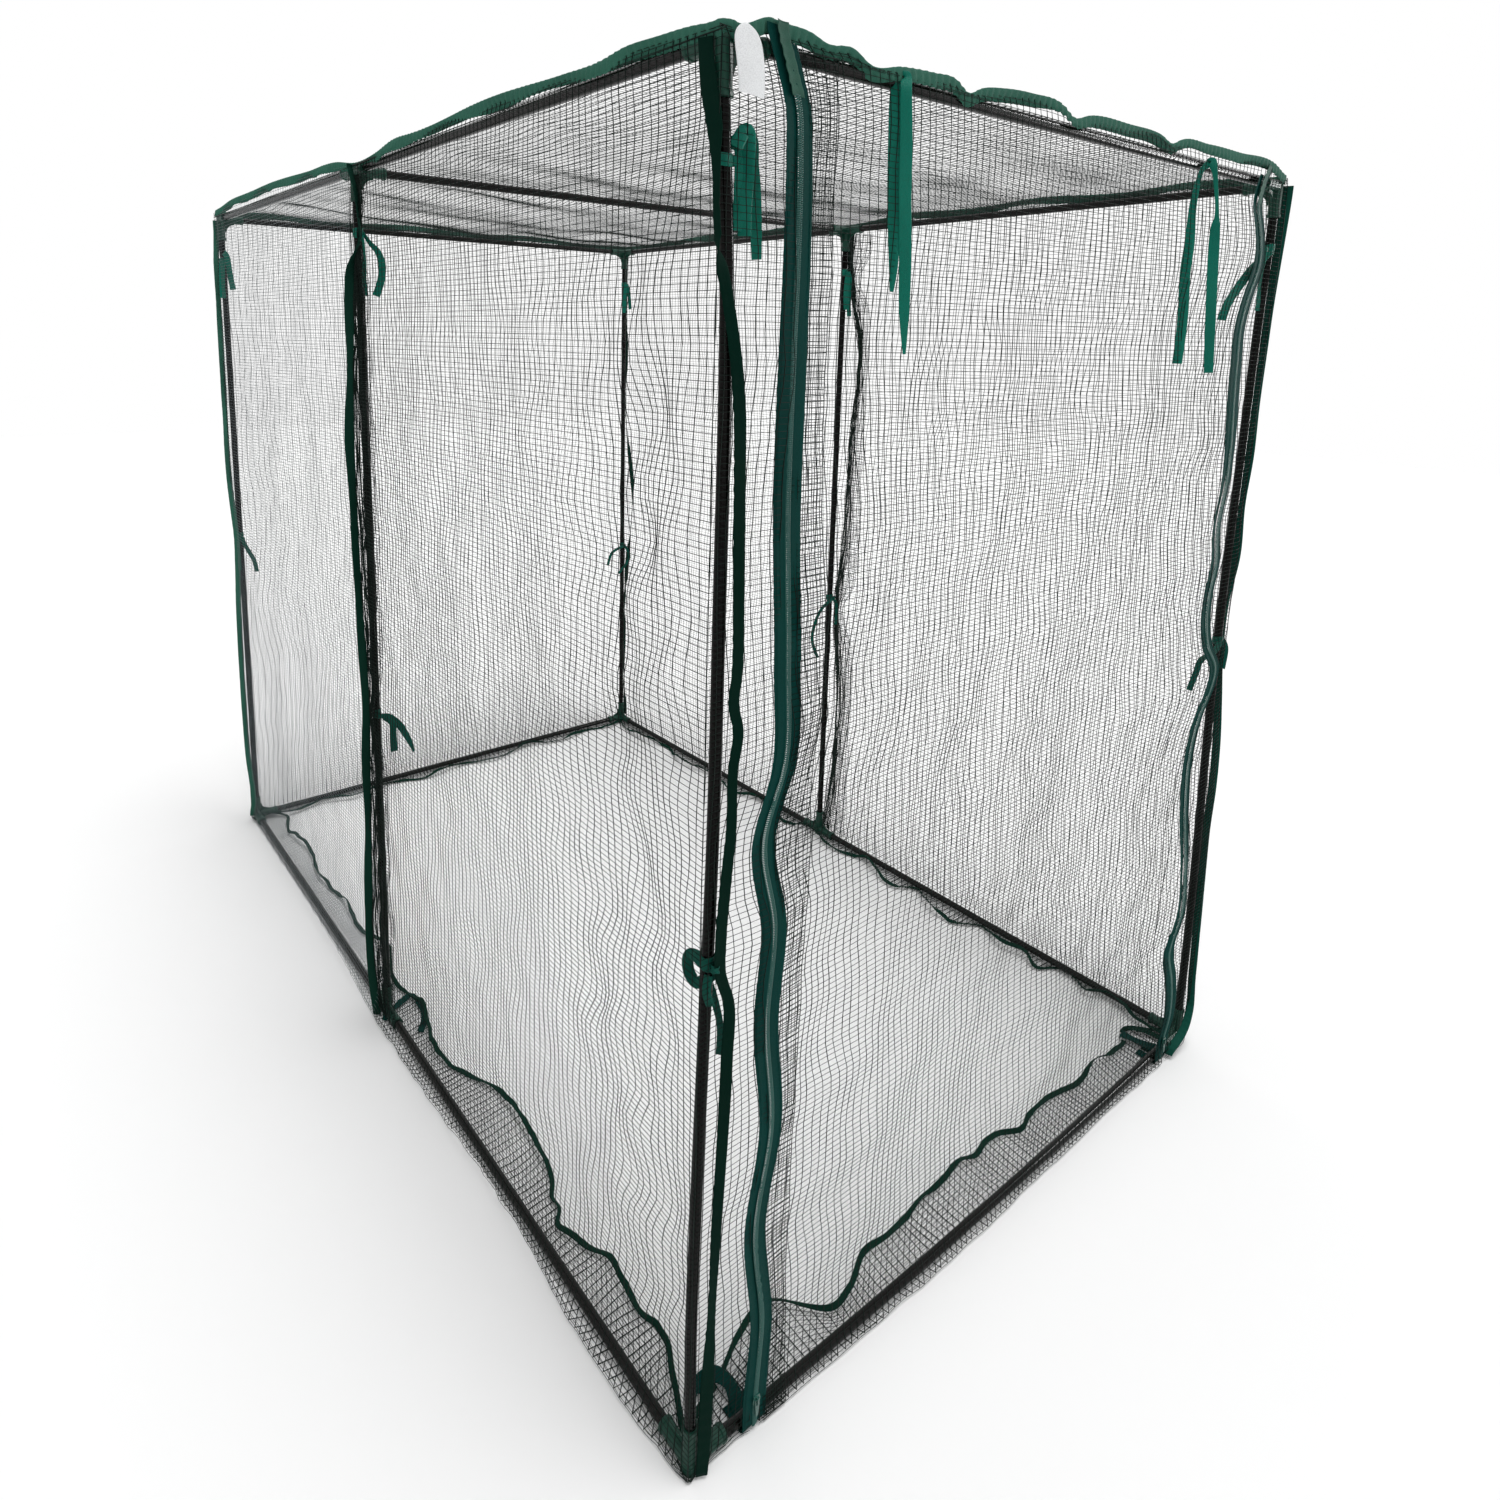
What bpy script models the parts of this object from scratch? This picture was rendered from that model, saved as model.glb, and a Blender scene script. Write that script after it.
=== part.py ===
"""Walk-in fruit cage.

Steel tubes push into moulded socket connectors and make a box frame with six posts. A net cover
with bound edges hangs over it: a roof, three walls, and a front whose middle is a door between two
zips. A skirt of the same net turns in under the base rails and lies on the ground.

Sizes are in metres. X runs along the front, Y from the front to the back and Z up. The origin is
on the ground, in the middle of the plan.
"""

import math

import bmesh
import bpy
from mathutils import Matrix, Vector

# Frame, measured between the axes of the tubes
FRAME_WIDTH = 1.370
FRAME_LENGTH = 2.200
FRAME_HEIGHT = 1.800
TUBE_DIAMETER = 0.016
TUBE_WALL = 0.0008
ROUND_SIDES = 12

# Gap between pieces that touch on the real cage
FIT = 0.0003
# How far a cutter runs past the face that it opens
OVERRUN = 0.002

# Socket connectors
SOCKET_WALL = 0.0024
SOCKET_REACH = 0.058
SOCKET_DEPTH = 0.040
LIP_LENGTH = 0.006
LIP_PROUD = 0.0015
LIP_CHAMFER = 0.0012
HUB_PROUD = 0.0011
HUB_RINGS = 4
WEB_REACH = 0.034
WEB_THICKNESS = 0.003
WEB_RISE = 0.003
WEB_STEPS = 4
FOOT_RADIUS = 0.0118
FOOT_HEIGHT = 0.006
FOOT_CHAMFER = 0.0015

# Net cover
COVER_GAP = 0.0006
NET_THICKNESS = 0.002
NET_BAR = 0.005
BINDING_WIDTH = 0.012
FIN_RISE = 0.029
GAPS_LONG = 8
GAPS_HIGH = 7
GAPS_WIDE = 5
GAPS_ROOF_WIDE = 5
GAPS_DOOR = 5
GAPS_STRIP = 1

# Ground skirt
SKIRT_THICKNESS = 0.0012
SKIRT_CLEARANCE = 0.0011
SKIRT_REACH = 0.087
SKIRT_STEP = 0.100
HEM_WIDTH = 0.012
HEM_SWAY = 0.011
HEM_LIFT = 0.014
HEM_WAVE = 0.640
HEM_RIPPLE = 0.290
HEM_STILL = 0.075
HEM_FADE = 0.150
SKIRT_FLAT_SHARE = 0.55
SKIRT_APART = 0.004
FLAP_RISE = 0.0013

# Zips, each centred this far from the axis of its corner post
ZIP_FROM_POST = 0.1025
ZIP_TAPE = 0.021
ZIP_TAPE_THICKNESS = 0.001
COIL_GAP = 0.0020
COIL_WIDTH = 0.0036
COIL_RISE = 0.0018
ZIP_LAP = 0.012

# Zip sliders and pull tabs
SLIDER_WIDTH = 0.014
SLIDER_HEIGHT = 0.014
SLIDER_PLATE = 0.0014
SLIDER_WEB = 0.0012
SLIDER_BASE = 0.046
SLIDER_SHOULDER_SHARE = 0.45
SLIDER_WAIST_SHARE = 0.72
BRIDGE_WIDTH = 0.0024
BRIDGE_BAR = 0.0013
BRIDGE_CLEAR = 0.0021
BRIDGE_HEIGHT = 0.0095
PULL_WIDTH = 0.008
PULL_LENGTH = 0.028
PULL_THICKNESS = 0.0012
PULL_CROSSBAR = 0.0014
PULL_SLOT_WIDTH = 0.0042
PULL_SLOT_HEIGHT = 0.0088
PULL_TIP = 0.002

# Ribbons
RIBBON_WIDTH = 0.015
RIBBON_THICKNESS = 0.0009
DOOR_TIE_LEFT_SHARE = 0.717
DOOR_TIE_RIGHT_SHARE = 0.648
DOOR_TIE_DROP = 0.0075
DOOR_TIE_FRONT = 0.310
DOOR_TIE_BACK = 0.235
DOOR_TIE_BOW = 0.006
DOOR_TIE_STEPS = 6
TIE_BELOW_RAIL = 0.118
TIE_GAP = 0.0003
KNOT_LENGTH = 0.013
KNOT_WIDTH = 0.009
KNOT_HEIGHT = 0.016
KNOT_CHAMFER = 0.003
TAIL_LONG = 0.120
TAIL_SHORT = 0.092
TAIL_APART = 0.0016
TAIL_SWING = 0.012
TAIL_STEPS = 5

# Sewn label, blank
LABEL_WIDTH = 0.040
LABEL_HEIGHT = 0.076
LABEL_THICKNESS = 0.0008
LABEL_FROM_POST = 0.002

TUBE_RADIUS = TUBE_DIAMETER / 2
SOCKET_RADIUS = TUBE_RADIUS + FIT + SOCKET_WALL
LIP_RADIUS = SOCKET_RADIUS + LIP_PROUD
HUB_RADIUS = SOCKET_RADIUS + HUB_PROUD
COVER_IN = max(LIP_RADIUS, HUB_RADIUS) + COVER_GAP
COVER_OUT = COVER_IN + NET_THICKNESS
HALF_WIDTH = FRAME_WIDTH / 2
HALF_LENGTH = FRAME_LENGTH / 2
BASE_AXIS = LIP_RADIUS + SKIRT_CLEARANCE + SKIRT_THICKNESS
TOP_AXIS = BASE_AXIS + FRAME_HEIGHT
NET_BOTTOM = SKIRT_THICKNESS + FIT
ROOF_BOTTOM = TOP_AXIS + COVER_IN
ROOF_TOP = ROOF_BOTTOM + NET_THICKNESS
FIN_TOP = TOP_AXIS + FIN_RISE
DOOR_TOP = ROOF_BOTTOM - FIT
FLAP_BOTTOM = SKIRT_THICKNESS + FLAP_RISE
DOOR_BOTTOM = FLAP_BOTTOM + SKIRT_THICKNESS + FIT
FRONT_OUT = HALF_LENGTH + COVER_OUT
ZIP_X = HALF_WIDTH - ZIP_FROM_POST
DOOR_TIE_LEFT = -ZIP_X * DOOR_TIE_LEFT_SHARE
DOOR_TIE_RIGHT = ZIP_X * DOOR_TIE_RIGHT_SHARE
TAPE_BACK = FRONT_OUT + FIT
TAPE_FACE = TAPE_BACK + ZIP_TAPE_THICKNESS
COIL_FACE = TAPE_FACE + COIL_RISE
NET_SIDE_OF_ZIP = ZIP_TAPE - ZIP_LAP
SLIDER_FACE = COIL_FACE + FIT + SLIDER_PLATE

X_AXIS = Vector((1, 0, 0))
Y_AXIS = Vector((0, 1, 0))
Z_AXIS = Vector((0, 0, 1))


def clear_scene():
    for old in list(bpy.data.objects):
        bpy.data.objects.remove(old)


def finish_material(name, colour, roughness, metallic):
    made = bpy.data.materials.new(name)
    made.use_nodes = True
    shader = made.node_tree.nodes["Principled BSDF"]
    shader.inputs["Base Color"].default_value = (*colour, 1)
    shader.inputs["Roughness"].default_value = roughness
    shader.inputs["Metallic"].default_value = metallic
    made.diffuse_color = (*colour, 1)
    return made


def add_object(name, mesh, material=None):
    made = bpy.data.objects.new(name, mesh)
    bpy.context.scene.collection.objects.link(made)
    if material and not mesh.materials:
        mesh.materials.append(material)
    return made


def mesh_from(bm, name, smooth=False):
    bmesh.ops.recalc_face_normals(bm, faces=bm.faces[:])
    mesh = bpy.data.meshes.new(name)
    bm.to_mesh(mesh)
    bm.free()
    if smooth:
        mesh.shade_smooth()
        mesh.set_sharp_from_angle(angle=math.radians(40))
    return mesh


def axes_matrix(origin, first, second, third):
    """A matrix that takes local X, Y and Z to three world directions at an origin."""
    rows = Matrix((first, second, third)).transposed().to_4x4()
    return Matrix.Translation(origin) @ rows


def combine(target, tool, operation):
    """Joins, cuts or keeps the overlap of two solids, and removes the tool."""
    step = target.modifiers.new("combine", "BOOLEAN")
    step.object = tool
    step.operation = operation
    step.solver = "EXACT"
    bpy.context.view_layer.update()
    shaped = target.evaluated_get(bpy.context.evaluated_depsgraph_get())
    mesh = bpy.data.meshes.new_from_object(shaped)
    target.modifiers.clear()
    target.data = mesh
    bpy.data.objects.remove(tool)


def weld(target):
    """Merges the coplanar slivers that a union leaves."""
    bm = bmesh.new()
    bm.from_mesh(target.data)
    bmesh.ops.remove_doubles(bm, verts=bm.verts[:], dist=FIT / 100)
    bmesh.ops.dissolve_limit(bm, angle_limit=math.radians(0.2), verts=bm.verts[:], edges=bm.edges[:])
    bm.to_mesh(target.data)
    bm.free()


def turned(name, profile, closed):
    """A solid turned about Z from (radius, height) points; closed joins the last to the first."""
    bm = bmesh.new()
    verts = [bm.verts.new((radius, 0, height)) for radius, height in profile]
    edges = [bm.edges.new(pair) for pair in zip(verts, verts[1:])]
    if closed:
        edges.append(bm.edges.new((verts[-1], verts[0])))
    bmesh.ops.spin(
        bm,
        geom=verts + edges,
        cent=(0, 0, 0),
        axis=Z_AXIS,
        angle=math.tau,
        steps=ROUND_SIDES,
        use_merge=True,
    )
    bmesh.ops.remove_doubles(bm, verts=bm.verts[:], dist=FIT / 100)
    return mesh_from(bm, name, smooth=True)


def slab(name, outline, thickness, place):
    """A flat outline in local X and Y, extruded evenly about its plane along local Z."""
    bm = bmesh.new()
    face = bm.faces.new([bm.verts.new((x, y, -thickness / 2)) for x, y in outline])
    grown = bmesh.ops.extrude_face_region(bm, geom=[face])["geom"]
    moved = [part for part in grown if isinstance(part, bmesh.types.BMVert)]
    bmesh.ops.translate(bm, vec=(0, 0, thickness), verts=moved)
    bmesh.ops.transform(bm, matrix=place, verts=bm.verts[:])
    return mesh_from(bm, name)


def box_between(name, low, high):
    bm = bmesh.new()
    bmesh.ops.create_cube(bm, size=1)
    size = Vector(high) - Vector(low)
    middle = (Vector(high) + Vector(low)) / 2
    bmesh.ops.scale(bm, vec=size, verts=bm.verts[:])
    bmesh.ops.translate(bm, vec=middle, verts=bm.verts[:])
    return add_object(name, mesh_from(bm, name))


# Frame tubes


def tube_mesh(name, length):
    """A tube from the origin up local Z."""
    inner = TUBE_RADIUS - TUBE_WALL
    profile = [(TUBE_RADIUS, length), (TUBE_RADIUS, 0), (inner, 0), (inner, length)]
    return turned(name, profile, closed=True)


def frame_tubes(material):
    """Each tube stops just short of the floor of the sockets at its two ends."""
    seat = SOCKET_REACH - SOCKET_DEPTH + FIT
    post = tube_mesh("post", FRAME_HEIGHT - 2 * seat)
    across = tube_mesh("cross_tube", FRAME_WIDTH - 2 * seat)
    along = tube_mesh("side_tube", HALF_LENGTH - 2 * seat)
    for side, x in (("left", -HALF_WIDTH), ("right", HALF_WIDTH)):
        for place, y in (("front", -HALF_LENGTH), ("middle", 0), ("back", HALF_LENGTH)):
            tube = add_object(f"post_{place}_{side}", post, material)
            tube.location = (x, y, BASE_AXIS + seat)
        for level, z in (("base", BASE_AXIS), ("top", TOP_AXIS)):
            for place, y in (("front", -HALF_LENGTH), ("back", 0)):
                tube = add_object(f"{level}_rail_{side}_{place}", along, material)
                tube.location = (x, y + seat, z)
                tube.rotation_euler = (-math.pi / 2, 0, 0)
    runs = [
        ("base_rail_front", -HALF_LENGTH, BASE_AXIS),
        ("base_rail_back", HALF_LENGTH, BASE_AXIS),
        ("top_rail_front", -HALF_LENGTH, TOP_AXIS),
        ("top_rail_back", HALF_LENGTH, TOP_AXIS),
        ("top_rail_cross", 0, TOP_AXIS),
    ]
    for name, y, z in runs:
        tube = add_object(name, across, material)
        tube.location = (-HALF_WIDTH + seat, y, z)
        tube.rotation_euler = (0, math.pi / 2, 0)


# Socket connectors


def socket_arm(direction):
    """One arm: a round body with a thicker chamfered lip at its mouth."""
    lip_start = SOCKET_REACH - LIP_LENGTH
    profile = [
        (0, 0),
        (SOCKET_RADIUS, 0),
        (SOCKET_RADIUS, lip_start - LIP_CHAMFER),
        (LIP_RADIUS, lip_start),
        (LIP_RADIUS, SOCKET_REACH - LIP_CHAMFER),
        (LIP_RADIUS - LIP_CHAMFER, SOCKET_REACH),
        (0, SOCKET_REACH),
    ]
    mesh = turned("arm", profile, closed=False)
    mesh.transform(Z_AXIS.rotation_difference(direction).to_matrix().to_4x4())
    return add_object("arm", mesh)


def socket_bore(direction):
    """The blind hole of one arm."""
    radius = TUBE_RADIUS + FIT
    profile = [
        (0, SOCKET_REACH - SOCKET_DEPTH),
        (radius, SOCKET_REACH - SOCKET_DEPTH),
        (radius, SOCKET_REACH + OVERRUN),
        (0, SOCKET_REACH + OVERRUN),
    ]
    mesh = turned("bore", profile, closed=False)
    mesh.transform(Z_AXIS.rotation_difference(direction).to_matrix().to_4x4())
    return add_object("bore", mesh)


def corner_web(first, second):
    """The rib that braces two arms, with a hollow edge."""
    near = SOCKET_RADIUS + WEB_RISE
    sweep = WEB_REACH - near
    outline = [(0, 0), (WEB_REACH, 0)]
    for step in range(WEB_STEPS + 1):
        angle = math.pi / 2 * step / WEB_STEPS
        x = WEB_REACH - sweep * math.sin(angle)
        y = WEB_REACH - sweep * math.cos(angle)
        outline.append((x, y))
    outline.append((0, WEB_REACH))
    place = axes_matrix(Vector(), first, second, first.cross(second))
    return add_object("web", slab("web", outline, WEB_THICKNESS, place))


def hub_ball():
    """The rounded middle, turned with its poles cut square."""
    profile = []
    for ring in range(HUB_RINGS + 1):
        angle = math.pi * ring / HUB_RINGS - math.pi / 2
        profile.append((HUB_RADIUS * max(0, math.cos(angle)), HUB_RADIUS * math.sin(angle)))
    profile[0] = (0, -HUB_RADIUS)
    profile[-1] = (0, HUB_RADIUS)
    return add_object("hub", turned("hub", profile, closed=False))


def foot_pad():
    """The round pad under a base connector, flat on the ground."""
    profile = [
        (0, -BASE_AXIS),
        (FOOT_RADIUS - FOOT_CHAMFER, -BASE_AXIS),
        (FOOT_RADIUS, FOOT_CHAMFER - BASE_AXIS),
        (FOOT_RADIUS, FOOT_HEIGHT - BASE_AXIS),
        (SOCKET_RADIUS, 0),
        (0, 0),
    ]
    return add_object("foot", turned("foot", profile, closed=False))


def connector_mesh(name, arms, foot):
    """A moulded connector whose arms are given as directions."""
    body = hub_ball()
    for direction in arms:
        combine(body, socket_arm(direction), "UNION")
    for index, first in enumerate(arms):
        for second in arms[index + 1 :]:
            if abs(first.dot(second)) < FIT:
                combine(body, corner_web(first, second), "UNION")
    if foot:
        combine(body, foot_pad(), "UNION")
    for direction in arms:
        combine(body, socket_bore(direction), "DIFFERENCE")
    weld(body)
    mesh = body.data
    mesh.name = name
    mesh.shade_smooth()
    mesh.set_sharp_from_angle(angle=math.radians(40))
    bpy.data.objects.remove(body)
    return mesh


def connectors(material):
    top_corner = connector_mesh("top_corner", [X_AXIS, Y_AXIS, -Z_AXIS], foot=False)
    base_corner = connector_mesh("base_corner", [X_AXIS, Y_AXIS, Z_AXIS], foot=True)
    top_middle = connector_mesh("top_middle", [Y_AXIS, -Y_AXIS, -Z_AXIS, X_AXIS], foot=False)
    base_middle = connector_mesh("base_middle", [Y_AXIS, -Y_AXIS, Z_AXIS], foot=True)
    corners = [
        ("front_left", -HALF_WIDTH, -HALF_LENGTH, 0),
        ("front_right", HALF_WIDTH, -HALF_LENGTH, 1),
        ("back_right", HALF_WIDTH, HALF_LENGTH, 2),
        ("back_left", -HALF_WIDTH, HALF_LENGTH, 3),
    ]
    for place, x, y, quarter_turns in corners:
        for level, z, mesh in (("top", TOP_AXIS, top_corner), ("base", BASE_AXIS, base_corner)):
            piece = add_object(f"{level}_corner_{place}", mesh, material)
            piece.location = (x, y, z)
            piece.rotation_euler = (0, 0, quarter_turns * math.pi / 2)
    for side, x, turn in (("left", -HALF_WIDTH, 0), ("right", HALF_WIDTH, math.pi)):
        for level, z, mesh in (("top", TOP_AXIS, top_middle), ("base", BASE_AXIS, base_middle)):
            piece = add_object(f"{level}_middle_{side}", mesh, material)
            piece.location = (x, 0, z)
            piece.rotation_euler = (0, 0, turn)


# Net cover


def cut_lines(low, high, gaps):
    """Edges of the solid bars and the gaps across one side of a net, bound at both ends."""
    clear = (high - low - 2 * BINDING_WIDTH - (gaps - 1) * NET_BAR) / gaps
    lines = [low]
    at = low + BINDING_WIDTH
    for _ in range(gaps):
        lines += [at, at + clear]
        at += clear + NET_BAR
    lines.append(high)
    return lines


def pierced_plate(name, across, up, thickness, place):
    """A plate whose every second cell both ways is a gap, from its low face up local Z."""
    bm = bmesh.new()
    corner = {}
    for i, x in enumerate(across):
        for j, y in enumerate(up):
            corner[i, j] = bm.verts.new((x, y, 0))
    for i in range(len(across) - 1):
        for j in range(len(up) - 1):
            if i % 2 and j % 2:
                continue
            bm.faces.new([corner[i, j], corner[i + 1, j], corner[i + 1, j + 1], corner[i, j + 1]])
    grown = bmesh.ops.extrude_face_region(bm, geom=bm.faces[:])["geom"]
    moved = [part for part in grown if isinstance(part, bmesh.types.BMVert)]
    bmesh.ops.translate(bm, vec=(0, 0, thickness), verts=moved)
    bmesh.ops.transform(bm, matrix=place, verts=bm.verts[:])
    return mesh_from(bm, name)


def side_net(side, sign, material):
    """A long wall, from end to end of the cage, with its top edge standing above the rail."""
    across = cut_lines(-FRONT_OUT, FRONT_OUT, GAPS_LONG)
    up = cut_lines(NET_BOTTOM, FIN_TOP, GAPS_HIGH)
    x = sign * (HALF_WIDTH + COVER_IN)
    place = axes_matrix(Vector((x, 0, 0)), Y_AXIS, Z_AXIS, X_AXIS * sign)
    add_object(f"net_{side}", pierced_plate(f"net_{side}", across, up, NET_THICKNESS, place), material)


def back_net(material):
    reach = HALF_WIDTH + COVER_IN - FIT
    across = cut_lines(-reach, reach, GAPS_WIDE)
    up = cut_lines(NET_BOTTOM, FIN_TOP, GAPS_HIGH)
    place = axes_matrix(Vector((0, HALF_LENGTH + COVER_IN, 0)), X_AXIS, Z_AXIS, Y_AXIS)
    add_object("net_back", pierced_plate("net_back", across, up, NET_THICKNESS, place), material)


def front_strip(side, sign, material):
    """The narrow part of the front between a corner and its zip."""
    outer = HALF_WIDTH + COVER_IN - FIT
    inner = ZIP_X + NET_SIDE_OF_ZIP
    across = cut_lines(inner, outer, GAPS_STRIP)
    up = cut_lines(NET_BOTTOM, FIN_TOP, GAPS_HIGH)
    place = axes_matrix(Vector((0, -FRONT_OUT, 0)), X_AXIS * sign, Z_AXIS, Y_AXIS)
    name = f"net_front_{side}"
    add_object(name, pierced_plate(name, across, up, NET_THICKNESS, place), material)


def roof_net(material):
    """The roof lies on the top connectors."""
    reach_x = HALF_WIDTH + COVER_IN - FIT
    reach_y = HALF_LENGTH + COVER_IN - FIT
    across = cut_lines(-reach_x, reach_x, GAPS_ROOF_WIDE)
    along = cut_lines(-reach_y, reach_y, GAPS_LONG)
    place = Matrix.Translation((0, 0, ROOF_BOTTOM))
    add_object("net_roof", pierced_plate("net_roof", across, along, NET_THICKNESS, place), material)


def front_top_net(material):
    """The front seam, which stands up above the door from one zip to the other."""
    reach = ZIP_X + NET_SIDE_OF_ZIP - FIT
    low = (-reach, -FRONT_OUT, ROOF_BOTTOM)
    high = (reach, -FRONT_OUT + NET_THICKNESS, FIN_TOP)
    seam = box_between("net_front_top", low, high)
    seam.data.materials.append(material)


def door_net(material):
    """The door panel, with two slots under its top edge for the ties."""
    reach = ZIP_X - NET_SIDE_OF_ZIP
    across = cut_lines(-reach, reach, GAPS_DOOR)
    up = cut_lines(DOOR_BOTTOM, DOOR_TOP, GAPS_HIGH)
    place = axes_matrix(Vector((0, -FRONT_OUT, 0)), X_AXIS, Z_AXIS, Y_AXIS)
    door = add_object("net_door", pierced_plate("net_door", across, up, NET_THICKNESS, place))
    half_slot = RIBBON_WIDTH / 2 + FIT
    high = DOOR_TOP - DOOR_TIE_DROP + RIBBON_THICKNESS + FIT
    low = DOOR_TOP - DOOR_TIE_DROP - FIT
    for x in (DOOR_TIE_LEFT, DOOR_TIE_RIGHT):
        slot_low = (x - half_slot, -FRONT_OUT - OVERRUN, low)
        slot_high = (x + half_slot, -FRONT_OUT + NET_THICKNESS + OVERRUN, high)
        combine(door, box_between("slot", slot_low, slot_high), "DIFFERENCE")
    weld(door)
    door.data.materials.clear()
    door.data.materials.append(material)


# Ground skirt


def skirt_sections(length, phase, lift):
    """Cross-sections along a skirt as (distance along, reach, hem height)."""
    rows = max(2, round(length / SKIRT_STEP))
    sections = []
    for row in range(rows + 1):
        along = length * row / rows
        from_end = min(along, length - along)
        free = min(1, max(0, (from_end - HEM_STILL) / HEM_FADE))
        wave = math.sin(math.tau * along / HEM_WAVE + phase)
        ripple = math.sin(math.tau * along / HEM_RIPPLE + 2 * phase)
        reach = SKIRT_REACH + HEM_SWAY * free * (wave + ripple) / 2
        sections.append((along, reach, lift * free * (1 + ripple) / 2))
    return sections


def skirt_mesh(name, length, phase, lift, place):
    """A strip along local X that runs inward along local Y, flat under the rail, its hem rising."""
    bm = bmesh.new()
    rings = []
    for along, reach, rise in skirt_sections(length, phase, lift):
        low = [
            (0, 0),
            (reach * SKIRT_FLAT_SHARE, 0),
            (reach - HEM_WIDTH, rise),
            (reach, rise),
        ]
        ring = [bm.verts.new((along, y, z)) for y, z in low]
        ring += [bm.verts.new((along, y, z + SKIRT_THICKNESS)) for y, z in reversed(low)]
        rings.append(ring)
    for near, far in zip(rings, rings[1:]):
        for index in range(len(near)):
            after = (index + 1) % len(near)
            bm.faces.new([near[index], near[after], far[after], far[index]])
    for ring in (rings[0], rings[-1]):
        bm.faces.new([ring[0], ring[1], ring[6], ring[7]])
        bm.faces.new([ring[1], ring[2], ring[5], ring[6]])
        bm.faces.new([ring[2], ring[3], ring[4], ring[5]])
    bmesh.ops.triangulate(bm, faces=bm.faces[:])
    bmesh.ops.transform(bm, matrix=place, verts=bm.verts[:])
    return mesh_from(bm, name, smooth=True)


def foot_notch(skirt, x, y):
    """Cuts a square way for a foot, from it out past the edge of the skirt."""
    clear = FOOT_RADIUS + FIT
    low = [x - clear, y - clear, -OVERRUN]
    high = [x + clear, y + clear, BASE_AXIS]
    if x < 0:
        low[0] = x - COVER_OUT - OVERRUN
    else:
        high[0] = x + COVER_OUT + OVERRUN
    if y < 0:
        low[1] = y - COVER_OUT - OVERRUN
    elif y > 0:
        high[1] = y + COVER_OUT + OVERRUN
    combine(skirt, box_between("notch", low, high), "DIFFERENCE")


def skirts(material):
    length = 2 * FRONT_OUT
    outer = HALF_WIDTH + COVER_OUT
    left_place = axes_matrix(Vector((-outer, -FRONT_OUT, 0)), Y_AXIS, X_AXIS, Z_AXIS)
    right_place = axes_matrix(Vector((outer, -FRONT_OUT, 0)), Y_AXIS, -X_AXIS, Z_AXIS)
    for side, x, place, phase in (
        ("left", -HALF_WIDTH, left_place, 0.6),
        ("right", HALF_WIDTH, right_place, 2.4),
    ):
        name = f"skirt_{side}"
        skirt = add_object(name, skirt_mesh(name, length, phase, HEM_LIFT, place))
        for y in (-HALF_LENGTH, 0, HALF_LENGTH):
            foot_notch(skirt, x, y)
        weld(skirt)
        skirt.data.materials.clear()
        skirt.data.materials.append(material)
    reach = outer - SKIRT_REACH - HEM_SWAY - SKIRT_APART
    back_place = axes_matrix(Vector((-reach, FRONT_OUT, 0)), X_AXIS, -Y_AXIS, Z_AXIS)
    back = skirt_mesh("skirt_back", 2 * reach, 1.1, HEM_LIFT, back_place)
    add_object("skirt_back", back, material)
    half_door = ZIP_X - NET_SIDE_OF_ZIP
    door_place = axes_matrix(Vector((-half_door, -FRONT_OUT, FLAP_BOTTOM)), X_AXIS, Y_AXIS, Z_AXIS)
    flap = skirt_mesh("door_flap", 2 * half_door, 0.3, 0, door_place)
    add_object("door_flap", flap, material)


# Zips


def tape_half(name, x, toward, top, bottom, material):
    """Half a zip: a tape with a ridge of coil on its free edge, extruded up the front."""
    edge = COIL_GAP / 2
    ridge = edge + COIL_WIDTH
    bevel = COIL_RISE / 2
    outline = [
        (edge, TAPE_BACK),
        (ZIP_TAPE, TAPE_BACK),
        (ZIP_TAPE, TAPE_FACE),
        (ridge, TAPE_FACE),
        (ridge, COIL_FACE - bevel),
        (ridge - bevel, COIL_FACE),
        (edge + bevel, COIL_FACE),
        (edge, COIL_FACE - bevel),
    ]
    middle = Vector((x, 0, (top + bottom) / 2))
    place = axes_matrix(middle, X_AXIS * toward, -Y_AXIS, Z_AXIS)
    add_object(name, slab(name, outline, top - bottom, place), material)


def zip_slider(side, x, inward, material):
    """The slider: a full front plate, a web between the coils and a plate behind the door's coil."""
    half = SLIDER_WIDTH / 2
    web = SLIDER_WEB / 2
    front = COIL_FACE + FIT
    behind = TAPE_BACK - FIT
    outline = [
        (-half, SLIDER_FACE),
        (-half, front),
        (-web, front),
        (-web, behind - SLIDER_PLATE),
        (half, behind - SLIDER_PLATE),
        (half, behind),
        (web, behind),
        (web, front),
        (half, front),
        (half, SLIDER_FACE),
    ]
    middle = Vector((x, 0, SLIDER_BASE + SLIDER_HEIGHT / 2))
    place = axes_matrix(middle, X_AXIS * inward, -Y_AXIS, Z_AXIS)
    name = f"zip_slider_{side}"
    slider = add_object(name, slab(name, outline, SLIDER_HEIGHT, place))
    combine(slider, slider_outline(x), "INTERSECT")
    combine(slider, slider_bridge(x), "UNION")
    weld(slider)
    slider.data.materials.clear()
    slider.data.materials.append(material)


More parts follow.
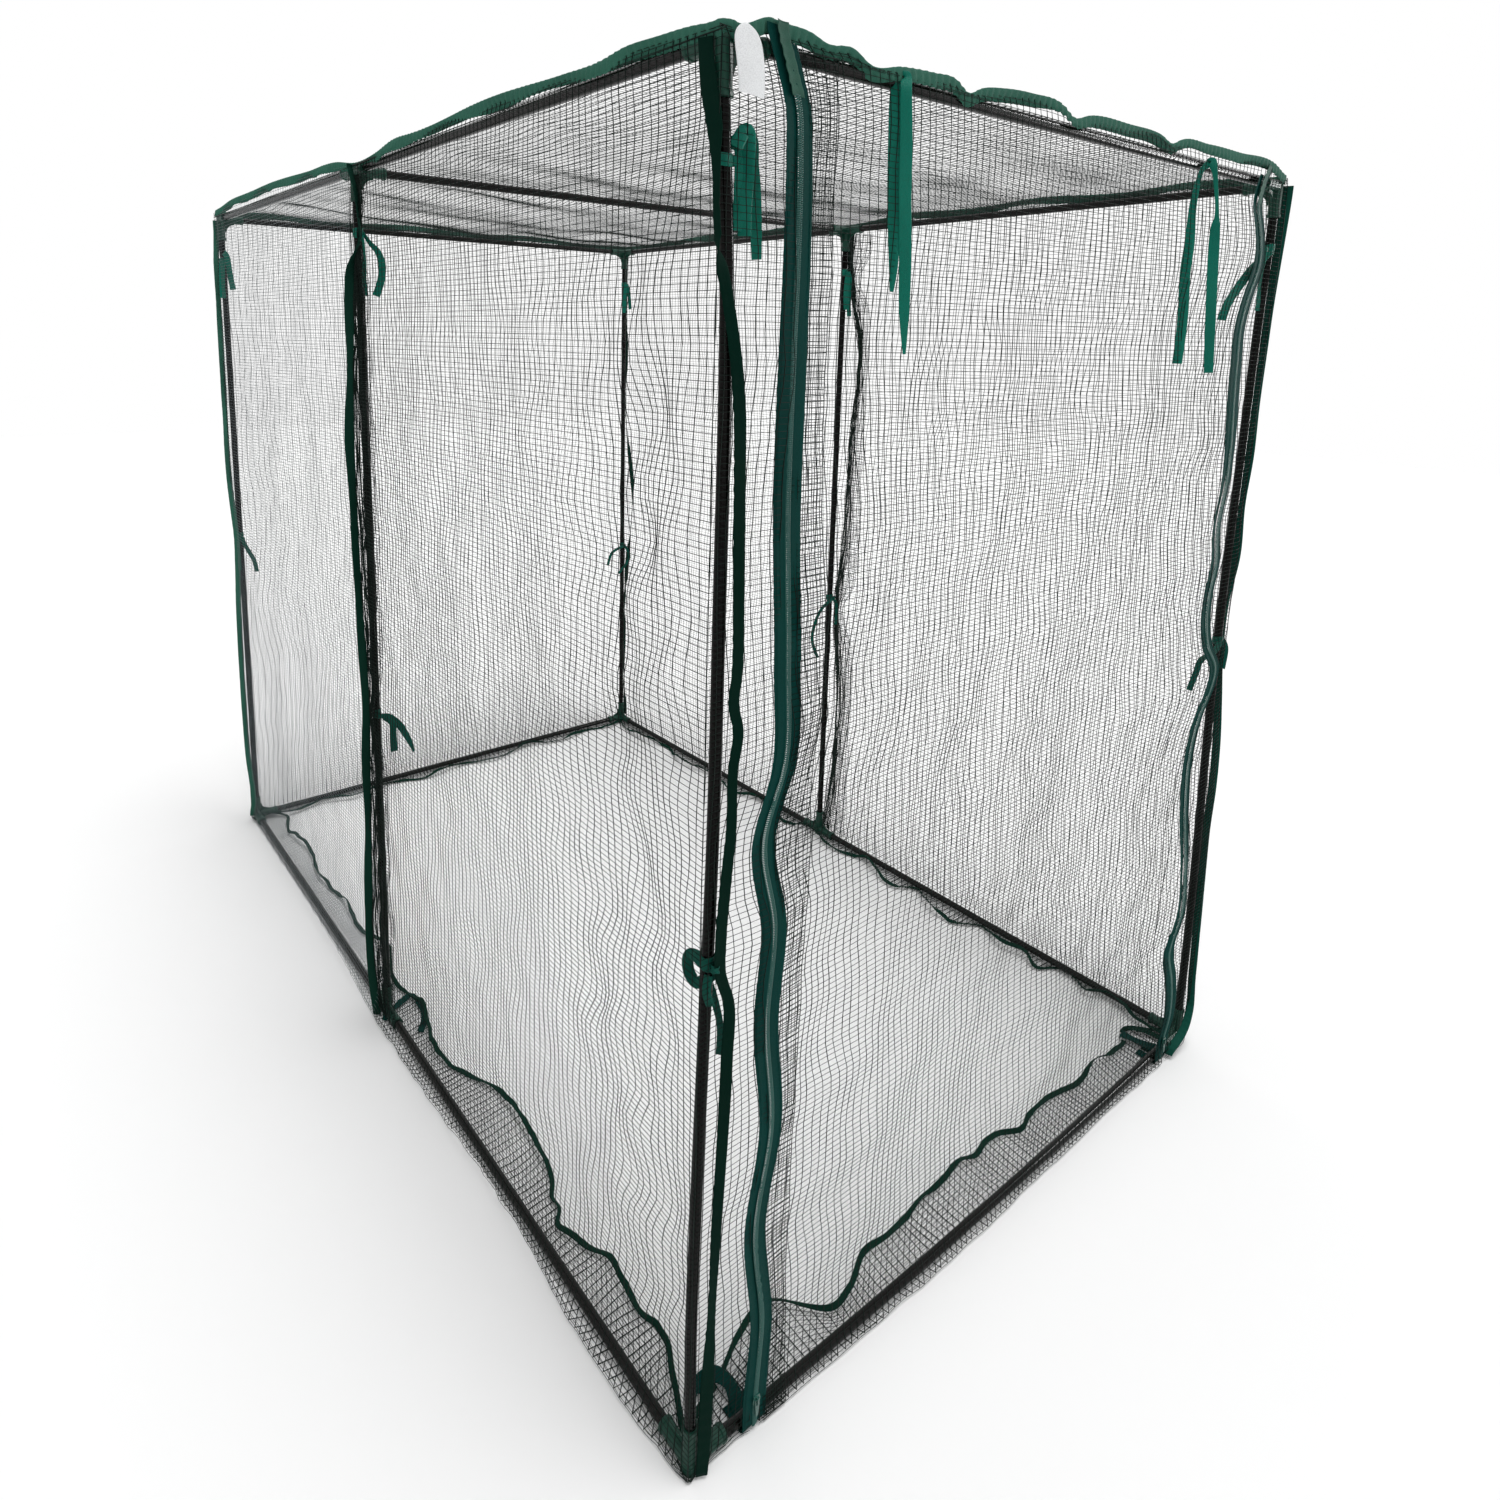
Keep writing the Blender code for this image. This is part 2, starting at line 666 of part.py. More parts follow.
def slider_outline(x):
    """The shield shape of the slider seen from the front, broad at its shoulders."""
    half = SLIDER_WIDTH / 2
    waist = half * SLIDER_WAIST_SHARE
    shoulder = SLIDER_BASE + SLIDER_HEIGHT * SLIDER_SHOULDER_SHARE
    top = SLIDER_BASE + SLIDER_HEIGHT
    outline = [
        (-waist, SLIDER_BASE),
        (waist, SLIDER_BASE),
        (half, shoulder),
        (waist, top),
        (-waist, top),
        (-half, shoulder),
    ]
    depth = 2 * (SLIDER_FACE - TAPE_BACK + FIT + SLIDER_PLATE) + OVERRUN
    place = axes_matrix(Vector((x, -TAPE_BACK, 0)), X_AXIS, Z_AXIS, Y_AXIS)
    return add_object("shield", slab("shield", outline, depth, place))


def bridge_span():
    """The low and high ends of the bridge that carries the pull tab."""
    middle = SLIDER_BASE + SLIDER_HEIGHT / 2
    return middle - BRIDGE_HEIGHT / 2, middle + BRIDGE_HEIGHT / 2


def slider_bridge(x):
    """An arch on the face of the slider, open from side to side."""
    low, high = bridge_span()
    root = SLIDER_FACE - SLIDER_PLATE / 2
    under = SLIDER_FACE + BRIDGE_CLEAR
    over = under + BRIDGE_BAR
    outline = [
        (root, low),
        (over, low + BRIDGE_BAR / 2),
        (over, high - BRIDGE_BAR / 2),
        (root, high),
        (root, high - BRIDGE_BAR),
        (under, high - BRIDGE_BAR),
        (under, low + BRIDGE_BAR),
        (root, low + BRIDGE_BAR),
    ]
    place = axes_matrix(Vector((x, 0, 0)), -Y_AXIS, Z_AXIS, X_AXIS)
    return add_object("bridge", slab("bridge", outline, BRIDGE_WIDTH, place))


def pull_axis():
    """Where the crossbar of a pull tab hangs: its distance in front of the frame and its height."""
    low, high = bridge_span()
    out = SLIDER_FACE + BRIDGE_CLEAR / 2
    return out, high - BRIDGE_BAR - FIT - PULL_CROSSBAR


def pull_tab(side, x, material):
    """A tab with an eye, hanging from the bridge."""
    half = PULL_WIDTH / 2
    slot = PULL_SLOT_WIDTH / 2
    out, height = pull_axis()
    top = PULL_CROSSBAR / 2
    across = [-half, -slot, slot, half]
    up = [top - PULL_LENGTH, top - PULL_CROSSBAR - PULL_SLOT_HEIGHT, top - PULL_CROSSBAR, top]
    place = axes_matrix(Vector((0, PULL_THICKNESS / 2, 0)), X_AXIS, Z_AXIS, -Y_AXIS)
    name = f"zip_pull_{side}"
    tab = add_object(name, pierced_plate(name, across, up, PULL_THICKNESS, place), material)
    tab.location = (x, -out, height)
    bm = bmesh.new()
    bm.from_mesh(tab.data)
    for vert in bm.verts:
        if vert.co.z < up[0] + FIT:
            vert.co.x *= (half - PULL_TIP) / half
    bm.to_mesh(tab.data)
    bm.free()


def zips(tape_material, metal_material):
    for side, sign in (("left", -1), ("right", 1)):
        x = sign * ZIP_X
        tape_half(f"zip_tape_{side}", x, sign, FIN_TOP, NET_BOTTOM, tape_material)
        tape_half(f"door_tape_{side}", x, -sign, DOOR_TOP, DOOR_BOTTOM, tape_material)
        zip_slider(side, x, -sign, metal_material)
        pull_tab(side, x, metal_material)


# Ribbons and label


def ribbon_mesh(name, centres, outward, half_width, place):
    """A flat ribbon through (out, height) centres, its faces a set distance apart."""
    half = RIBBON_THICKNESS / 2
    front = [(out + half * outward[i][0], up + half * outward[i][1]) for i, (out, up) in enumerate(centres)]
    back = [(out - half * outward[i][0], up - half * outward[i][1]) for i, (out, up) in enumerate(centres)]
    outline = front + back[::-1]
    bm = bmesh.new()
    sides = []
    for x in (-half_width, half_width):
        sides.append([bm.verts.new((x, out, up)) for out, up in outline])
    count = len(outline)
    for index in range(count):
        after = (index + 1) % count
        bm.faces.new([sides[0][index], sides[0][after], sides[1][after], sides[1][index]])
    last = count - 1
    for side in sides:
        for index in range(len(front) - 1):
            bm.faces.new([side[index], side[index + 1], side[last - index - 1], side[last - index]])
    bmesh.ops.transform(bm, matrix=place, verts=bm.verts[:])
    return mesh_from(bm, name, smooth=True)


def door_tie(side, x, material):
    """A ribbon through the slot in the door, one tail down each face."""
    half = RIBBON_THICKNESS / 2
    front = NET_THICKNESS + FIT + half
    back = -FIT - half
    high = DOOR_TOP - DOOR_TIE_DROP + half
    centres = []
    outward = []
    for step in range(DOOR_TIE_STEPS, 0, -1):
        share = step / DOOR_TIE_STEPS
        bow = DOOR_TIE_BOW * math.sin(math.pi * share) * share
        centres.append((front + bow, high - DOOR_TIE_FRONT * share))
        outward.append((1, 0))
    centres += [(front, high), (back, high)]
    outward += [(1, 1), (-1, 1)]
    for step in range(1, DOOR_TIE_STEPS + 1):
        share = step / DOOR_TIE_STEPS
        centres.append((back, high - DOOR_TIE_BACK * share))
        outward.append((-1, 0))
    place = axes_matrix(Vector((x, NET_THICKNESS - FRONT_OUT, 0)), X_AXIS, -Y_AXIS, Z_AXIS)
    name = f"door_tie_{side}"
    add_object(name, ribbon_mesh(name, centres, outward, RIBBON_WIDTH / 2, place), material)


def tie_tail(length, swing, apart, start, high):
    """A hanging ribbon in local X and Z, its faces towards local Y, swung sideways as it drops."""
    half = RIBBON_THICKNESS / 2
    bm = bmesh.new()
    rings = []
    for step in range(TAIL_STEPS + 1):
        share = step / TAIL_STEPS
        side = swing * math.sin(math.pi / 2 * share)
        y = apart * share
        z = high - length * share
        ring = []
        for x, face in ((0, -half), (RIBBON_WIDTH, -half), (RIBBON_WIDTH, half), (0, half)):
            ring.append(bm.verts.new((start + x + side, y + face, z)))
        rings.append(ring)
    for near, far in zip(rings, rings[1:]):
        for index in range(4):
            after = (index + 1) % 4
            bm.faces.new([near[index], near[after], far[after], far[index]])
    bm.faces.new(rings[0])
    bm.faces.new(rings[-1])
    return add_object("tail", mesh_from(bm, "tail"))


def post_tie_mesh():
    """A band round a post, a knot beside it along local X, and two tails."""
    inner = TUBE_RADIUS + TIE_GAP
    outer = inner + RIBBON_THICKNESS
    half = RIBBON_WIDTH / 2
    profile = [(outer, half), (outer, -half), (inner, -half), (inner, half)]
    tie = add_object("post_tie", turned("post_tie", profile, closed=True))
    start = inner + RIBBON_THICKNESS / 2
    knot_place = axes_matrix(Vector((start + KNOT_LENGTH / 2, 0, 0)), X_AXIS, Z_AXIS, Y_AXIS)
    x = KNOT_LENGTH / 2
    z = KNOT_HEIGHT / 2
    outline = [
        (-x, -z + KNOT_CHAMFER),
        (-x + KNOT_CHAMFER, -z),
        (x - KNOT_CHAMFER, -z),
        (x, -z + KNOT_CHAMFER),
        (x, z - KNOT_CHAMFER),
        (x - KNOT_CHAMFER, z),
        (-x + KNOT_CHAMFER, z),
        (-x, z - KNOT_CHAMFER),
    ]
    combine(tie, add_object("knot", slab("knot", outline, KNOT_WIDTH, knot_place)), "UNION")
    tail_start = start + KNOT_CHAMFER
    long_tail = tie_tail(TAIL_LONG, TAIL_SWING, TAIL_APART * 2, tail_start, 0)
    combine(tie, long_tail, "UNION")
    short_tail = tie_tail(TAIL_SHORT, TAIL_SWING / 3, -TAIL_APART * 2, tail_start - KNOT_CHAMFER / 2, 0)
    combine(tie, short_tail, "UNION")
    weld(tie)
    mesh = tie.data
    bpy.data.objects.remove(tie)
    return mesh


def post_ties(material):
    """Each knot lies beside its post, along the wall that it faces."""
    mesh = post_tie_mesh()
    mesh.materials.clear()
    front = -HALF_LENGTH
    back = HALF_LENGTH
    places = [
        ("front_left", -HALF_WIDTH, front, 0),
        ("front_right", HALF_WIDTH, front, math.pi),
        ("middle_left", -HALF_WIDTH, 0, -math.pi / 2),
        ("middle_right", HALF_WIDTH, 0, -math.pi / 2),
        ("back_left", -HALF_WIDTH, back, -math.pi / 2),
        ("back_right", HALF_WIDTH, back, -math.pi / 2),
    ]
    for place, x, y, turn in places:
        tie = add_object(f"post_tie_{place}", mesh, material)
        tie.location = (x, y, TOP_AXIS - TIE_BELOW_RAIL)
        tie.rotation_euler = (0, 0, turn)


def sewn_label(material):
    """A blank label that hangs from the front seam beside the near corner post."""
    left = -HALF_WIDTH + LABEL_FROM_POST
    back = -FRONT_OUT - FIT
    low = (left, back - LABEL_THICKNESS, FIN_TOP - LABEL_HEIGHT)
    high = (left + LABEL_WIDTH, back, FIN_TOP)
    label = box_between("label", low, high)
    label.data.materials.append(material)


def build():
    clear_scene()
    steel = finish_material("steel_tube", (0.020, 0.018, 0.016), 0.28, 0.0)
    plastic = finish_material("green_plastic", (0.020, 0.075, 0.050), 0.45, 0.0)
    net = finish_material("green_net", (0.012, 0.030, 0.022), 0.6, 0.0)
    tape = finish_material("zip_tape", (0.006, 0.090, 0.065), 0.55, 0.0)
    metal = finish_material("zip_metal", (0.010, 0.070, 0.050), 0.35, 0.0)
    ribbon = finish_material("ribbon", (0.0, 0.230, 0.120), 0.5, 0.0)
    label = finish_material("label", (0.85, 0.86, 0.86), 0.6, 0.0)
    frame_tubes(steel)
    connectors(plastic)
    side_net("left", -1, net)
    side_net("right", 1, net)
    back_net(net)
    front_strip("left", -1, net)
    front_strip("right", 1, net)
    roof_net(net)
    front_top_net(net)
    door_net(net)
    skirts(net)
    zips(tape, metal)
    door_tie("left", DOOR_TIE_LEFT, ribbon)
    door_tie("right", DOOR_TIE_RIGHT, ribbon)
    post_ties(ribbon)
    sewn_label(label)


build()
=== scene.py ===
"""Walk-in fruit cage: glossy tubes in moulded sockets under a sewn cover of knitted netting.

Every strand of the netting, every zip tooth and every binding is real geometry, in the frame of the
CAD model: the front faces -Y and the ground is at Z = 0. Sizes are in metres, and the long tables of
places are in millimetres.
"""

import math

import bpy
import numpy as np
from mathutils import Matrix, Vector


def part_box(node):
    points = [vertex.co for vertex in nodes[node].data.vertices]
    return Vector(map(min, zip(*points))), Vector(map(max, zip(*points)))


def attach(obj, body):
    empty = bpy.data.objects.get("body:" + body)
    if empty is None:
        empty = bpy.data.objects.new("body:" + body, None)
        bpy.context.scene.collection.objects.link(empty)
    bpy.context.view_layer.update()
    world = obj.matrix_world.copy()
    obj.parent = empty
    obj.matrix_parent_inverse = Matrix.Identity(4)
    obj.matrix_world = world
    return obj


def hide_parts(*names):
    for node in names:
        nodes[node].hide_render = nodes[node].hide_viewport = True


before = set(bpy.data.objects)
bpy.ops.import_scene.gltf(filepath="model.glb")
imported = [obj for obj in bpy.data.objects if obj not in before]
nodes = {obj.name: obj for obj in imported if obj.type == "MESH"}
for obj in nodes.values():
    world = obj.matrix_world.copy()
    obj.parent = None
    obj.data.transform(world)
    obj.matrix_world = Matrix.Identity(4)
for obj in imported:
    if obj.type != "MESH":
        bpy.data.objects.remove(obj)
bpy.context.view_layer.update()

# Places of the CAD model
HALF_WIDTH = 0.685
HALF_LENGTH = 1.1
BASE_AXIS = 0.0145
TOP_AXIS = 1.8145
TUBE_RADIUS = 0.008
RAIL_TOP = TOP_AXIS + TUBE_RADIUS
NET_OUT = 0.0138
FRONT_FACE = 1.1148
ZIP_X = 0.5825
TAPE_HALF = 0.021
TAPE_BACK = 1.1151
TAPE_FACE = 1.1161

# The net from its hem on the ground, up the wall, to the fin above the rail
SKIRT = 0.1
RISE = TOP_AXIS
FIN = 0.022
V_TOP = SKIRT + RISE + FIN
DOOR_TOP = SKIRT + RISE - 0.001
DOOR_REACH = ZIP_X - TAPE_HALF + 0.012

REACH = {"front": HALF_WIDTH, "back": HALF_WIDTH, "left": HALF_LENGTH, "right": HALF_LENGTH}
X_NET = HALF_WIDTH + NET_OUT
Y_NET = HALF_LENGTH + NET_OUT

X = np.array((1.0, 0.0, 0.0))
Y = np.array((0.0, 1.0, 0.0))
Z = np.array((0.0, 0.0, 1.0))

# The camera's place, rounded
VIEWPOINT = np.array((-1.36, -1.91, 1.51))


def add_camera():
    """The camera, solved on the twelve corners of the frame in the photograph."""
    data = bpy.data.cameras.new("camera")
    data.sensor_width = 36
    data.lens = 23.011
    data.shift_x = 0.04261
    data.shift_y = -0.16349
    data.clip_start = 0.05
    data.clip_end = 60
    camera = bpy.data.objects.new("camera", data)
    bpy.context.scene.collection.objects.link(camera)
    right = Vector((0.790003, -0.612815, 0.018808))
    forward = Vector((0.606404, 0.776479, -0.171330))
    up = right.cross(forward)
    rows = Matrix((right, up, -forward)).transposed().to_4x4()
    camera.matrix_world = Matrix.Translation((-1.358589, -1.914385, 1.50995)) @ rows
    bpy.context.scene.camera = camera


# Small tools


def ease(t):
    return t * t * (3 - 2 * t)


def bell(x, middle, width):
    return np.exp(-(((x - middle) / width) ** 2))


def unit(a):
    return a / np.linalg.norm(a, axis=-1, keepdims=True)


def xyz(x, y, z):
    return np.stack(np.broadcast_arrays(x, y, z), -1)


def run_length(line):
    return np.concatenate(([0], np.cumsum(np.linalg.norm(np.diff(line, axis=0), axis=1))))


def smooth(keys):
    """A smooth function through keys, each a place and its value, held level beyond both ends."""
    at, value = np.array(sorted(dict(keys).items()), float).T
    slope = np.gradient(value, at)
    slope[0] = slope[-1] = 0

    def read(x):
        x = np.clip(x, at[0], at[-1])
        i = np.clip(np.searchsorted(at, x) - 1, 0, len(at) - 2)
        step = at[i + 1] - at[i]
        t = (x - at[i]) / step
        lean = step * (t * (1 - t)) * (slope[i] * (1 - t) - slope[i + 1] * t)
        return value[i] + (value[i + 1] - value[i]) * ease(t) + lean

    return read


def smooth_mm(keys):
    """The same from places and values in millimetres."""
    return smooth({at / 1000: value / 1000 for at, value in keys.items()})


def curve(points, t):
    """A smooth line through a few points, at the places t, which count the points."""
    return np.stack([smooth(enumerate(column))(t) for column in np.transpose(points)], -1)


def ripple(seed, scale_u, scale_v, waves=9):
    """A smooth random field over a panel, about one high."""
    rng = np.random.default_rng(seed)
    turn = rng.uniform(0, math.tau, waves)
    ku = np.cos(turn) * rng.uniform(0.6, 1.4, waves) * math.tau / scale_u
    kv = np.sin(turn) * rng.uniform(0.6, 1.4, waves) * math.tau / scale_v
    phase = rng.uniform(0, math.tau, waves)
    high = math.sqrt(2 / waves)

    def read(u, v):
        return sum(np.cos(a * u + b * v + c) for a, b, c in zip(ku, kv, phase)) * high

    return read


class Soup:
    """Collects faces of any size for one piece."""

    def __init__(self):
        self.verts, self.loops, self.sizes, self.uvs = [], [], [], []
        self.count = 0

    def add(self, verts, quads, *caps, uv=None):
        """Points, the quads between them with their places on the cloth, and the faces that close them."""
        for faces in (quads, *caps):
            self.loops.append((faces + self.count).ravel())
            self.sizes.append(np.full(len(faces), faces.shape[1]))
            bare = uv is None or faces is not quads
            self.uvs.append(np.zeros((faces.size, 2)) if bare else uv.reshape(-1, 2))
        self.verts.append(verts.reshape(-1, 3))
        self.count += len(self.verts[-1])

    def piece(self, name, finish, body, slot, with_uv=False):
        verts, loops, sizes, uv = map(np.concatenate, (self.verts, self.loops, self.sizes, self.uvs))
        mesh = bpy.data.meshes.new(name)
        mesh.vertices.add(len(verts))
        mesh.vertices.foreach_set("co", verts.astype(np.float32).ravel())
        mesh.loops.add(len(loops))
        mesh.loops.foreach_set("vertex_index", loops.astype(np.int32))
        mesh.polygons.add(len(sizes))
        mesh.polygons.foreach_set("loop_start", (np.cumsum(sizes) - sizes).astype(np.int32))
        mesh.update(calc_edges=True)
        mesh.polygons.foreach_set("use_smooth", np.full(len(sizes), True))
        if with_uv:
            mesh.uv_layers.new(name="cloth").data.foreach_set("uv", uv.astype(np.float32).ravel())
        mesh.materials.append(finish)
        made = bpy.data.objects.new(name, mesh)
        bpy.context.scene.collection.objects.link(made)
        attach(made, body)
        return made


def rings(lines, guide, sides, turn=0):
    """Unit circles of points across each line, the first point turned away from the guide."""
    along = unit(np.gradient(lines, axis=-2))
    side = unit(np.cross(along, guide))[..., None, :]
    up = np.cross(side, along[..., None, :])
    angle = (math.tau * np.arange(sides) / sides + turn)[:, None]
    return np.cos(angle) * side + np.sin(angle) * up


def skin(index):
    """The quads between following rings of point numbers."""
    near, far = index[..., :-1, :], index[..., 1:, :]
    return np.stack([near, np.roll(near, -1, -1), np.roll(far, -1, -1), far], -1).reshape(-1, 4)


def add_strands(soup, lines, radius, guide, sides=3):
    """Closed strands: lines is strands x points x 3, radius a number or one for each point."""
    count, points, _ = lines.shape
    radius = np.broadcast_to(np.asarray(radius, float), (count, points))[..., None, None]
    index = np.arange(count * points * sides).reshape(count, points, sides)
    verts = lines[:, :, None] + radius * rings(lines, guide, sides, math.pi / 2)
    soup.add(verts, skin(index), np.concatenate([index[:, 0, ::-1], index[:, -1]]))


# The section of a band: places across it as shares of its half width, and its thickness there
SHARES = np.array([-1.0, -0.86, -0.45, 0.0, 0.45, 0.86, 1.0])
LIFT = np.array([0.25, 1.0, 1.0, 1.0, 1.0, 1.0, 0.25])


def add_band(soup, centre, across, width, thickness, crown=0, gather=0, pitch=0.013):
    """A closed band of cloth along centre, across its unit directions, rounded at its edges, and gathered."""
    points = len(centre)
    across = unit(np.broadcast_to(np.asarray(across, float), centre.shape))
    normal = unit(np.cross(unit(np.gradient(centre, axis=0)), across))
    half = np.broadcast_to(np.asarray(width, float) / 2, points)[:, None]
    a = np.concatenate([SHARES, SHARES[::-1]])
    b = np.concatenate([LIFT, -LIFT])
    run = run_length(centre)
    turn = run / pitch * math.tau + 1.7 * np.sin(run * 17) + 0.9 * np.sin(run * 41 + 2)
    fold = gather * (np.sin(turn)[:, None] + 0.5 * np.sin(2.3 * turn + 1)[:, None] * a) * (1 - 0.35 * a)
    out = thickness / 2 * b + crown * (1 - a**2) + fold
    verts = centre[:, None] + (half * a)[..., None] * across[:, None] + out[..., None] * normal[:, None]
    ring = len(a)
    index = np.arange(points * ring).reshape(points, ring)
    quads = skin(index)
    uv = np.stack(np.broadcast_arrays(run[:, None], half * a), -1).reshape(-1, 2)[quads]
    cap = np.array([(ring - 1 - i, ring - 2 - i, i + 1, i) for i in range(len(SHARES) - 1)])
    soup.add(verts, quads, index[0][cap], index[-1][cap], uv=uv)


# Materials


def feed(tree, node, inputs):
    """Each input takes a value, or reads another node's output."""
    for key, value in inputs.items():
        if isinstance(value, bpy.types.NodeSocket):
            tree.links.new(value, node.inputs[key])
        else:
            node.inputs[key].default_value = value


def add_node(tree, kind, operation=None, **inputs):
    """A shader node; an input's name is written with _ for a space, and as _0 or _1 for its number."""
    node = tree.nodes.new("ShaderNode" + kind)
    if operation:
        node.operation = operation
    feed(tree, node, {int(k[1:]) if k[0] == "_" else k.replace("_", " "): v for k, v in inputs.items()})
    return node


def material(name, base, rough, gleam=0.5, spread=0.25, grain=400, bump=0, bump_scale=600, coat=0):
    """A finish whose colour and gloss vary with fine and broad noise in the object's own metres."""
    made = bpy.data.materials.new(name)
    made.use_nodes = True
    tree = made.node_tree
    shader = tree.nodes["Principled BSDF"]
    place = add_node(tree, "TexCoord").outputs["Object"]
    fine = add_node(tree, "TexNoise", Vector=place, Scale=grain, Detail=3).outputs["Fac"]
    broad = add_node(tree, "TexNoise", Vector=place, Scale=7, Detail=4).outputs["Fac"]
    half = add_node(tree, "Math", "MULTIPLY", _0=broad, _1=0.5).outputs[0]
    both = add_node(tree, "Math", "MULTIPLY_ADD", _0=fine, _1=0.5, _2=half).outputs[0]
    ramp = add_node(tree, "ValToRGB", Fac=both)
    for end, at, share in zip(ramp.color_ramp.elements, (0.3, 0.7), (1 - spread, 1 + spread)):
        end.position = at
        end.color = (*[c * share for c in base], 1)
    span = {"To_Min": rough * 0.85, "To_Max": min(1, rough * 1.2)}
    gloss = add_node(tree, "MapRange", Value=both, From_Min=0.3, From_Max=0.7, **span)
    feed(tree, shader, {
        "Base Color": ramp.outputs["Color"], "Roughness": gloss.outputs["Result"],
        "Specular IOR Level": gleam, "Coat Weight": coat,
    })
    if bump:
        dents = add_node(tree, "TexNoise", Vector=place, Scale=bump_scale).outputs["Fac"]
        rise = add_node(tree, "Bump", Strength=0.35, Distance=bump, Height=dents)
        feed(tree, shader, {"Normal": rise.outputs["Normal"]})
    return made


def woven(name, base, light, rough, gleam=0.5, rib=700):
    """Tape or ribbon: cross ribs and fine warp lines on its own length and width, and painted sheen: the
    colour turns toward the light one on the raised ribs.
    """
    made = material(name, base, rough, gleam, spread=0.3, grain=900)
    tree = made.node_tree
    shader = tree.nodes["Principled BSDF"]
    uv = add_node(tree, "UVMap")
    uv.uv_map = "cloth"
    split = add_node(tree, "SeparateXYZ", _0=uv.outputs["UV"])
    lines = []
    for axis, count in (("X", rib), ("Y", rib * 1.4)):
        turns = add_node(tree, "Math", "MULTIPLY", _0=split.outputs[axis], _1=count * math.tau)
        lines.append(add_node(tree, "Math", "SINE", _0=turns.outputs[0]).outputs[0])
    weave = add_node(tree, "Math", "MULTIPLY", _0=lines[0], _1=lines[1]).outputs[0]
    rise = add_node(tree, "Bump", Strength=0.5, Distance=0.0002, Height=weave)
    # Painted sheen: the raised ribs of the weave are coloured toward the light colour.
    rib_sheen = add_node(tree, "MapRange", Value=weave, From_Min=-1, From_Max=1, To_Min=0, To_Max=0.45)
    ramp = shader.inputs["Base Color"].links[0].from_socket
    tone = add_node(tree, "MixRGB", Fac=rib_sheen.outputs["Result"], Color1=ramp, Color2=(*light, 1))
    feed(tree, shader, {"Base Color": tone.outputs["Color"], "Normal": rise.outputs["Normal"]})
    return made


TUBE = material("powder_coated_tube", (0.0026, 0.0022, 0.0019), 0.1, 0.09, grain=900, bump=1e-5)
SOCKET = material("moulded_socket", (0.006, 0.05, 0.032), 0.38, 0.25, grain=1500, bump=6e-5, bump_scale=2200)
# Painted light: the rails' colour is a lighter copy of the tubes', for the light that falls on their tops.
RAIL = material("powder_coated_rail", (0.0042, 0.0034, 0.0028), 0.2, 0.17, grain=900, bump=1e-5)
YARN = material("net_yarn", (0.007, 0.014, 0.011), 0.5, 0.06, spread=0.35, grain=1200)
# Painted light: a paler, bluer copy of the yarn's colour, for the far left wall's strands, which catch the
# light.
YARN_FAR_LIT = material("net_yarn_painted_light", (0.12, 0.142, 0.148), 0.5, 0.12, spread=0.3, grain=1200)
# Painted shade: a darker copy of the edge binding's colour, for the near corner's binding, which stands in
# shade.
SHADED_CORNER_BINDING = woven("corner_binding_painted_shade", (0.0008, 0.011, 0.007), (0.004, 0.03, 0.02), 0.7, 0.03)
BINDING = woven("edge_binding", (0.002, 0.022, 0.014), (0.012, 0.062, 0.042), 0.7, 0.04)
# Painted light: a lighter copy of the edge binding's colour, for the front right seam, which faces the lamps.
LIT_SEAM_CLOTH = woven("seam_binding_cloth_painted_light", (0.003, 0.046, 0.032), (0.013, 0.098, 0.07), 0.7, 0.05)
# Painted light: a much lighter copy of the edge binding's colour, for bindings lit from above and from the
# left.
LIT_TOP_CLOTH = woven("top_binding_cloth_painted_light", (0.026, 0.11, 0.076), (0.075, 0.205, 0.152), 0.7, 0.06)
ZIP_TAPE = woven("zip_tape_cloth", (0.001, 0.032, 0.027), (0.005, 0.073, 0.062), 0.6, 0.04, rib=800)
# Painted light: a lighter copy of the zip tape's colour, for the folds at the zips' tops.
LIT_ZIP_END = woven("zip_end_cloth_painted_light", (0.022, 0.084, 0.058), (0.052, 0.14, 0.102), 0.6, 0.1, rib=800)
COIL = material("zip_coil_nylon", (0.026, 0.105, 0.088), 0.36, 0.2, grain=1500)
SLIDER = material("zip_slider_paint", (0.01, 0.08, 0.06), 0.3, grain=1800, bump=3e-5, coat=0.3)
RIBBON = woven("satin_ribbon", (0, 0.13, 0.088), (0, 0.25, 0.175), 0.38, 0.16, rib=1100)
SHADED_RIBBON = woven("satin_ribbon_shaded", (0.001, 0.062, 0.043), (0.004, 0.125, 0.092), 0.4, 0.1, rib=1100)
LABEL = woven("blank_label", (0.88, 0.9, 0.91), (0.93, 0.94, 0.95), 0.5, rib=1200)


# Frame tubes

TUBE_WALL = 0.0008
ROLLED_END = 0.0003
# How deep a tube's end sits from the axis of the tubes across it
SEAT = 0.0183
# The two bent posts: the axis along which each strays, and how far by height
BENT = {
    "front_left": (0, smooth_mm({
        20: 0, 100: -1.5, 200: -3, 300: -2.4, 400: 0, 500: 2.2, 600: 4.8, 700: 7.2, 800: 10.2, 900: 12.4,
        1000: 13.4, 1200: 13.7, 1400: 14.2, 1500: 13.8, 1600: 11.2, 1680: 6, 1740: 1.8, 1790: 0,
    })),
    "front_right": (1, smooth_mm({
        20: 0, 200: -0.6, 300: 0, 400: 1.6, 500: 3.6, 600: 5.8, 750: 8.6, 900: 10.2, 1050: 10, 1200: 8.2,
        1350: 6.3, 1500: 4.7, 1600: 3.1, 1700: 0.8, 1790: 0,
    })),
}


def post_bow(place, z):
    """How far a post strays from its straight axis at a height."""
    offset = np.zeros((*np.shape(z), 3))
    if place in BENT:
        axis, stray = BENT[place]
        offset[..., axis] = stray(z)
    return offset


